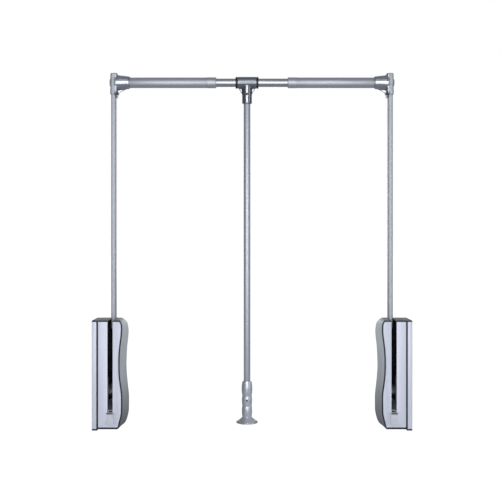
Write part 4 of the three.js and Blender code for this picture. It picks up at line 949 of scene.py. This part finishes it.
def collar(sizes):
    """Collar on the sleeve's open end, with a spigot inside the sleeve."""
    low, high, at = spans("left_sleeve_bush")
    radius = half("left_sleeve_bush", "z")
    step = high.x - COLLAR_LONG
    bore = half("bar_tube", "z") + FIT
    spigot = half("left_bar_sleeve", "z") - sizes.sleeve_wall - FIT
    bm = turned([(bore, low.x), (spigot, low.x), (spigot, step), (radius, step), (radius, high.x),
                 (bore, high.x), (bore, low.x)], "X", at, 96)
    return soften(bm, sizes.collar_edge, 4, at_level("x", high.x))


# Handle

TEE_GRAIN = 0.0007
BUSH_SPIGOT = 0.0123  # radius of the bushes inside the T piece
HOLE_OVERLAP = 0.001  # what a screw's hole runs into the bore it meets


def tee_casting(sizes):
    """Barrel on the rail, leg round the handle tube and a curved web on each side."""
    low, high, at = spans("tee")
    bar = centre_of("bar_tube")
    reach, barrel_edge, leg_edge = half("tee", "x"), 0.0008, 0.0016
    barrel = soften(rod(sizes.barrel / 2, low.x, high.x, "X", bar, 96), barrel_edge, 3)
    leg = soften(rod(sizes.leg / 2, low.z, bar.z, "Z", at, 96), leg_edge, 4)
    under, beside = bar.z - sizes.barrel / 2, sizes.leg / 2
    bend = curve_through([(reach - 0.003, under + 0.001), (beside + 0.0055, under - 0.0055),
                          (beside + 0.0015, under - 0.0115), (beside - 0.0005, bar.z - 0.031)], 6)
    web = [(at.x + x, -sizes.web / 2, z) for x, z in bend]
    web += [(at.x - x, -sizes.web / 2, z) for x, z in bend[::-1]]
    bm = cast(fused(barrel, leg, prism(web, (0, sizes.web, 0))), TEE_GRAIN)
    bore = rod(BUSH_SPIGOT + FIT, low.x - REACH, high.x + REACH, "X", bar, 72)
    radius = half("handle_tube", "x") + FIT
    leg_bore = rod(radius, low.z - REACH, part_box("handle_tube")[1].z + FIT, "Z", at, 72)
    screw = centre_of("tee_screw")
    hole = rod(sizes.tee_hole / 2, low.y - 5 * REACH, bar.y - radius + HOLE_OVERLAP, "Y", screw, 32)
    return cut(bm, bore, leg_bore, hole)


def flanged_bush(node, outward):
    """Bush in the T piece's barrel; outward is the way its flange faces along x."""
    low, high, at = spans(node)
    radius, flange, edge = half(node, "z"), 0.004, 0.0018
    bore = half("bar_tube", "z") + FIT
    inner, outer = (low.x, high.x) if outward > 0 else (high.x, low.x)
    face = outer - outward * flange
    bm = turned([(bore, inner), (BUSH_SPIGOT, inner), (BUSH_SPIGOT, face), (radius, face), (radius, outer),
                 (bore, outer), (bore, inner)], "X", at, 72)
    return soften(bm, edge, 5, at_level("x", outer))


def pole():
    """The handle's tube."""
    low, high, at = spans("handle_tube")
    radius, wall, edge = half("handle_tube", "x"), 0.0012, 0.0003
    return soften(tube(radius - wall, radius, low.z, high.z, "Z", at, 72), edge, 2)


def grip_body(sizes):
    """Wavy grip with its flared foot and the hole for the handle tube."""
    low, high, _ = spans("grip")
    tube_low, _, at = spans("handle_tube")
    bore, bore_end = half("handle_tube", "x") + FIT, tube_low.z - FIT
    outside = []
    for places, shares, wide in ((GRIP_DOWN, GRIP_RADIUS, sizes.grip), (FOOT_DOWN, FOOT_RADIUS, sizes.foot)):
        outside += [(share * wide / 2, high.z - down * (high.z - low.z))
                    for down, share in zip(places, shares)]
    profile = [(0, bore_end), (bore, bore_end), (bore, high.z), *curve_through(outside, 4), (0, low.z)]
    bm = turned(profile, "Z", at, 96)
    screw = centre_of("grip_screw")
    return cut(bm, rod(sizes.hole / 2, at.y - 10 * REACH, at.y - bore + HOLE_OVERLAP, "Y", screw, 32))


def grub_screw(node):
    """Grub screw with a hexagon socket."""
    low, high, at = spans(node)
    key, key_deep, edge = 0.0012, 0.0015, 0.0003
    bm = soften(rod(half(node, "x"), low.y, high.y, "Y", at, 32), edge, 2)
    return cut(bm, rod(key, low.y - REACH, low.y + key_deep, "Y", at, 6))


# Inside the housing


def coil(steps=28, sides=10):
    """The return spring: one closed turn, open turns, one closed turn."""
    low, high, at = spans("left_return_spring")
    wire, turns = 0.0025, 12
    radius = half("left_return_spring", "x") - wire / 2
    closed = wire * 1.05
    rise = (high.z - low.z - wire - 2 * closed) / (turns - 2)
    bm = bmesh.new()
    ring = bmesh.ops.create_circle(bm, cap_ends=False, segments=sides, radius=wire / 2)["verts"]
    bmesh.ops.rotate(bm, cent=(0, 0, 0), matrix=Matrix.Rotation(math.pi / 2, 3, "X"), verts=ring)
    bmesh.ops.translate(bm, vec=(radius, 0, low.z + wire / 2), verts=ring)
    loop = ring + bm.edges[:]
    for pitch, count in ((closed, 1), (rise, turns - 2), (closed, 1)):
        made = bmesh.ops.spin(
            bm, geom=loop, cent=(0, 0, 0), axis=(0, 0, 1), dvec=(0, 0, pitch / steps),
            angle=FULL_TURN * count, steps=steps * count, use_merge=False, use_duplicate=False,
        )
        loop = made["geom_last"]
    bmesh.ops.holes_fill(bm, edges=[e for e in bm.edges if e.is_boundary])
    bmesh.ops.recalc_face_normals(bm, faces=bm.faces)
    return move(bm, at.x, at.y, 0)


def damper():
    """Damper body with a hollow for the piston rod."""
    low, high, at = spans("left_damper_body")
    radius = half("left_damper_body", "x")
    bore, neck, neck_tall, edge = 0.0023, 0.0045, 0.004, 0.0004
    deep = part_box("left_damper_rack")[1].z + FIT
    profile = [(bore, low.z), (radius, low.z), (radius, high.z - neck_tall), (neck, high.z), (0, high.z),
               (0, deep), (bore, deep), (bore, low.z)]
    return soften(turned(profile, "Z", at, 48), edge, 2)


def spring_rod():
    low, high, at = spans("left_spring_rod")
    radius, edge = half("left_spring_rod", "x"), 0.0004
    return soften(rod(radius, low.z, high.z, "Z", at, 32), edge, 2)


def pivot():
    """Pivot pin with its head."""
    low, high, at = spans("left_pivot_pin")
    radius, head, head_tall, edge = 0.005, 0.0075, 0.002, 0.0005
    under = high.x - head_tall
    bm = turned([(0, low.x), (radius, low.x), (radius, under), (head, under), (head, high.x), (0, high.x)],
                "X", at, 48)
    return soften(bm, edge, 2)


# Stage

# Windows that only reflections see: name, x, y and z, width, height, and share of the setting's brightness
WINDOWS = (
    ("left", -0.1, -1.85, 0.395, 0.82, 1.11, 1),
    ("right", 0.84, -1.85, 0.395, 0.82, 1.11, 1),
    ("left_top", 0.02, -1.85, 1.05, 0.6, 0.2, 3),
    ("right_top", 0.74, -1.85, 1.05, 0.6, 0.2, 3),
    ("high", 0.37, -1.85, 2.0, 0.3, 1.7, 0.6),
    ("side", 2.4, -0.9, 0.7, 0.3, 1.6, 1),
    ("back", 0.37, 1.85, 0.7, 1.2, 1.0, 0.6),
)
# Cards that only reflections see: name, centre, turn in degrees and its axis, width, height, kind
CARD_GLOW = {"pale": 1.1, "deep": 0.5}
FLAGS = (
    ("over", (MIDDLE.x, -0.4, 2.9), 0, "X", 7, 5.8, "pale"),
    ("under", (MIDDLE.x, -0.1, -0.85), 0, "X", 7, 5.4, "pale"),
    ("behind", (MIDDLE.x, 2.5, 0.9), 90, "X", 7, 3.8, "pale"),
    ("front", (MIDDLE.x, -3.2, 1.1), 90, "X", 7, 4.4, "pale"),
    ("left", (-2.3, 0, 0.9), 90, "Y", 3.8, 5.4, "deep"),
    ("right", (3.0, 0.4, 0.9), 90, "Y", 3.8, 4.2, "deep"),
)
CAMERA_X = 0.3702  # nearly the part's middle, like the photo's
CAMERA_Z = 0.3429
FLOOR_HALF = 200
FLOOR_GREY = 0.86
FLOOR_GLOW = 1.16
FLOOR_SEEN = 0.85  # share of the floor's look that is its glow; the rest takes the shadow


def sheet(wide, tall, degrees=0, axis="X"):
    """A flat sheet of the stage, turned about the x or y axis."""
    bm = bmesh.new()
    bmesh.ops.create_grid(bm, x_segments=1, y_segments=1, size=0.5)
    bmesh.ops.scale(bm, vec=(wide, tall, 1), verts=bm.verts)
    turn = Matrix.Rotation(math.radians(degrees), 3, axis)
    bmesh.ops.rotate(bm, cent=(0, 0, 0), matrix=turn, verts=bm.verts)
    return bm


def staged(bm, name, material):
    """A mesh as an object of the stage."""
    made = new_object(bm, name)
    made.data.materials.append(material)
    return made


def soft_light(name, place, aim, wide, tall, power, for_metal=False):
    """A lamp that lights the surfaces or, for metal, one that only reflections show."""
    lamp = bpy.data.lights.new(name, "AREA")
    lamp.shape = "RECTANGLE"
    lamp.size, lamp.size_y = wide, tall
    lamp.energy = power
    light = bpy.data.objects.new(name, lamp)
    light.location = place
    light.visible_camera = False
    light.visible_glossy = for_metal
    light.visible_diffuse = not for_metal
    light.rotation_euler = (Vector(aim) - Vector(place)).to_track_quat("-Z", "Y").to_euler()
    bpy.context.scene.collection.objects.link(light)


def seen(tree):
    """1 for rays that show the background: the camera's own and those that metal and glass send."""
    camera, glossy, transmission = [tree.node("LightPath", out=out) for out in (0, 3, 6)]
    return camera.most(glossy).most(transmission)


def lay_floor(studio):
    made = Finish("pale_floor")
    matte = made.node("BsdfDiffuse", {}, {"Color": (*[FLOOR_GREY] * 3, 1)})
    white = made.node("Emission", {}, {"Color": (1, 1, 1, 1), "Strength": FLOOR_GLOW})
    both = made.node("MixShader", {}, {0: seen(made) * FLOOR_SEEN, 1: matte, 2: white})
    ground = move(sheet(2 * FLOOR_HALF, 2 * FLOOR_HALF), z=-studio.floor)
    staged(ground, "floor", made.shown(both))


def light_all_round(studio):
    world = bpy.data.worlds.new("studio")
    bpy.context.scene.world = world
    world.cycles.sampling_method = "NONE"
    tree = Tree(world)
    level = studio.ambient + seen(tree) * (1 - studio.ambient)
    light = tree.node("Background", {}, {"Color": (1, 1, 1, 1), "Strength": level})
    tree.node("OutputWorld", {}, {"Surface": light})


def hang_lamps(studio):
    x = MIDDLE.x
    soft_light("key_light", (x, -1.85, 0.4), MIDDLE, 1.1, 1.6, studio.key)
    soft_light("back_light", (x, 1.9, 0.4), MIDDLE, 1.6, 1.2, studio.key)
    soft_light("left_light", (x - 2, -1.2, 0.2), MIDDLE, 0.8, 1, studio.fill)
    soft_light("right_light", (x + 2, -1.2, 0.2), MIDDLE, 0.8, 1, studio.fill)
    for name, x, y, z, wide, tall, share in WINDOWS:
        power = share * studio.windows * math.pi * wide * tall
        aim = (MIDDLE.x if x > 2 else x, 0, z)
        soft_light(name + "_window", (x, y, z), aim, wide, tall, power, for_metal=True)


def set_cards(studio):
    papers = {}
    for kind, strength in CARD_GLOW.items():
        made = Finish(kind + "_card")
        glow = made.node("Emission", {}, {"Color": (*studio.flags, 1), "Strength": strength})
        papers[kind] = made.shown(glow)
    for name, centre, degrees, axis, wide, tall, kind in FLAGS:
        card = staged(move(sheet(wide, tall, degrees, axis), *centre), "flag_" + name, papers[kind])
        card.visible_camera = card.visible_diffuse = False
        card.visible_shadow = card.visible_transmission = False


def aim_camera(studio):
    lens = bpy.data.cameras.new("camera")
    lens.lens = studio.lens
    lens.sensor_width = 36
    camera = bpy.data.objects.new("camera", lens)
    camera.location = (CAMERA_X, -studio.distance, CAMERA_Z)
    camera.rotation_euler = (math.pi / 2, 0, 0)
    bpy.context.scene.collection.objects.link(camera)
    bpy.context.scene.camera = camera
    bpy.context.scene.view_settings.view_transform = "Standard"


# Operators


class ClosetRodOperator:
    """What the operators share"""

    bl_options = {"REGISTER", "UNDO"}

    @classmethod
    def poll(cls, context):
        return context.scene is not None


class CLOSETROD_OT_finishes(ClosetRodOperator, bpy.types.Operator):
    """Make the finishes and give them to the CAD nodes"""

    bl_idname = "closet_rod.finishes"
    bl_label = "Finishes"

    def execute(self, context):
        colours = context.scene.closet_rod.colours
        for paint in FINISHES:
            paint(Finish(paint.__name__, colours))
        for part in frame["record"]["subparts"]:
            for place in frame["nodes"][part["node"]].material_slots:
                place.material = bpy.data.materials[part["material_slot"]]
        return {"FINISHED"}


class CLOSETROD_OT_covers(ClosetRodOperator, bpy.types.Operator):
    """Grey covers of the housings"""

    bl_idname = "closet_rod.covers"
    bl_label = "Covers"

    def execute(self, context):
        sizes = context.scene.closet_rod.housing
        on_both_sides(cover_shell(sizes), "cover_shell", "cover", "grey_shell", "unit")
        return {"FINISHED"}


class CLOSETROD_OT_fascias(ClosetRodOperator, bpy.types.Operator):
    """Silver plates and strips on the housings' fronts"""

    bl_idname = "closet_rod.fascias"
    bl_label = "Fascias"

    def execute(self, context):
        sizes = context.scene.closet_rod.housing
        on_both_sides(fascia_plate(sizes), "fascia_plate", "fascia", "silver_paint", "unit")
        on_both_sides(trim_strip(sizes), "trim_strip", "base_trim", "silver_paint", "unit")
        return {"FINISHED"}


class CLOSETROD_OT_spacers(ClosetRodOperator, bpy.types.Operator):
    """Spacers on the wall and the buffers under the slots"""

    bl_idname = "closet_rod.spacers"
    bl_label = "Spacers and buffers"

    def execute(self, context):
        sizes = context.scene.closet_rod.housing
        on_both_sides(spacer(), "spacer", "wall_base", "grey_shell", "unit")
        on_both_sides(buffer_block(sizes), "buffer_block", "buffer", "pale_plastic", "unit")
        return {"FINISHED"}


class CLOSETROD_OT_insides(ClosetRodOperator, bpy.types.Operator):
    """Springs, dampers, rods and pivots inside the housings"""

    bl_idname = "closet_rod.insides"
    bl_label = "Springs and dampers"

    def execute(self, context):
        on_both_sides(coil(), "coil", "return_spring", "dark_steel", "unit", 60)
        for side in SIDES:
            low, _, at = spans(f"{side}_return_spring")
            spring, seat = bpy.data.objects[f"{side}_coil"], (at.x, at.y, low.z)
            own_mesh(spring)
            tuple(seat)
        on_both_sides(damper(), "damper", "damper_body", "damper_paint", "unit")
        on_both_sides(spring_rod(), "rod", "spring_rod", "zinc_steel", "rack")
        on_both_sides(pivot(), "pivot", "pivot_pin", "zinc_steel", "unit")
        return {"FINISHED"}


class CLOSETROD_OT_arms(ClosetRodOperator, bpy.types.Operator):
    """Flat-oval arm tubes"""

    bl_idname = "closet_rod.arms"
    bl_label = "Arms"

    def execute(self, context):
        sizes = context.scene.closet_rod.arm
        on_both_sides(arm_section(sizes), "arm_section", "arm_tube", "arm_paint", "arm")
        return {"FINISHED"}


class CLOSETROD_OT_elbows(ClosetRodOperator, bpy.types.Operator):
    """Elbow castings with their bolts"""

    bl_idname = "closet_rod.elbows"
    bl_label = "Elbows"

    def execute(self, context):
        sizes = context.scene.closet_rod.arm
        on_both_sides(elbow_casting(sizes), "elbow_casting", "elbow", "elbow_metal", "arm", 50)
        on_both_sides(bolt_with_key(), "bolt", "elbow_bolt", "zinc_steel", "arm")
        return {"FINISHED"}


class CLOSETROD_OT_rail(ClosetRodOperator, bpy.types.Operator):
    """Sleeves, collars and inner tube of the rail"""

    bl_idname = "closet_rod.rail"
    bl_label = "Rail"

    def execute(self, context):
        sizes = context.scene.closet_rod.rail
        sleeve = rail_tube("left_bar_sleeve", sizes.sleeve_wall, sizes.tube_edge)
        on_both_sides(sleeve, "sleeve", "bar_sleeve", "satin_tube", "arm")
        on_both_sides(collar(sizes), "collar", "sleeve_bush", "bush_plastic", "arm")
        inner = rail_tube("bar_tube", sizes.bar_wall, sizes.tube_edge)
        piece(inner, "inner_tube", "chrome_tube", "centre_tube", "bar_tube")
        return {"FINISHED"}


class CLOSETROD_OT_handle(ClosetRodOperator, bpy.types.Operator):
    """T piece, bushes, handle tube and grip"""

    bl_idname = "closet_rod.handle"
    bl_label = "Handle"

    def execute(self, context):
        sizes = context.scene.closet_rod.handle
        piece(tee_casting(sizes), "tee_casting", "elbow_metal", "handle", "tee", sharp=50)
        for side, outward in zip(SIDES, (-1, 1)):
            node = f"tee_bush_{side}"
            piece(flanged_bush(node, outward), f"bush_{side}", "black_plastic", "tee_bushes", node)
        piece(pole(), "pole", "arm_paint", "handle", "handle_tube")
        piece(grip_body(sizes), "grip_body", "grip_plastic", "handle", "grip", sharp=40)
        for place in ("tee", "grip"):
            piece(grub_screw(f"{place}_screw"), f"{place}_grub", "dark_steel", "handle", f"{place}_screw")
        return {"FINISHED"}


class CLOSETROD_OT_stage(ClosetRodOperator, bpy.types.Operator):
    """Pale floor, soft light and camera"""

    bl_idname = "closet_rod.stage"
    bl_label = "Stage"

    def execute(self, context):
        studio = context.scene.closet_rod.studio
        for step in (lay_floor, light_all_round, hang_lamps, set_cards, aim_camera):
            step(studio)
        return {"FINISHED"}


PIECES = (CLOSETROD_OT_finishes, CLOSETROD_OT_covers, CLOSETROD_OT_fascias, CLOSETROD_OT_spacers,
          CLOSETROD_OT_insides, CLOSETROD_OT_arms, CLOSETROD_OT_elbows, CLOSETROD_OT_rail,
          CLOSETROD_OT_handle, CLOSETROD_OT_stage)


class CLOSETROD_PT_panel(bpy.types.Panel):
    """Panel that lists the pieces and their sizes"""

    bl_idname = "CLOSETROD_PT_panel"
    bl_label = "Pull Down Closet Rod"
    bl_space_type = "VIEW_3D"
    bl_region_type = "UI"
    bl_category = "Closet Rod"

    def draw(self, context):
        for make in PIECES:
            self.layout.operator(make.bl_idname)
        for group in GROUPS:
            settings = getattr(context.scene.closet_rod, group)
            box = self.layout.box()
            for name in settings.__annotations__:
                box.prop(settings, name)


CLASSES = (HousingSizes, ArmSizes, RailSizes, HandleSizes, FinishColours, StudioSettings,
           ClosetRodSettings, *PIECES, CLOSETROD_PT_panel)


def register():
    for kind in CLASSES:
        bpy.utils.register_class(kind)
    bpy.types.Scene.closet_rod = bpy.props.PointerProperty(type=ClosetRodSettings)


def unregister():
    del bpy.types.Scene.closet_rod
    for kind in reversed(CLASSES):
        bpy.utils.unregister_class(kind)


def main():
    register()
    for make in PIECES:
        group, action = make.bl_idname.split(".")
        getattr(getattr(bpy.ops, group), action)()


if __name__ == "__main__":
    main()
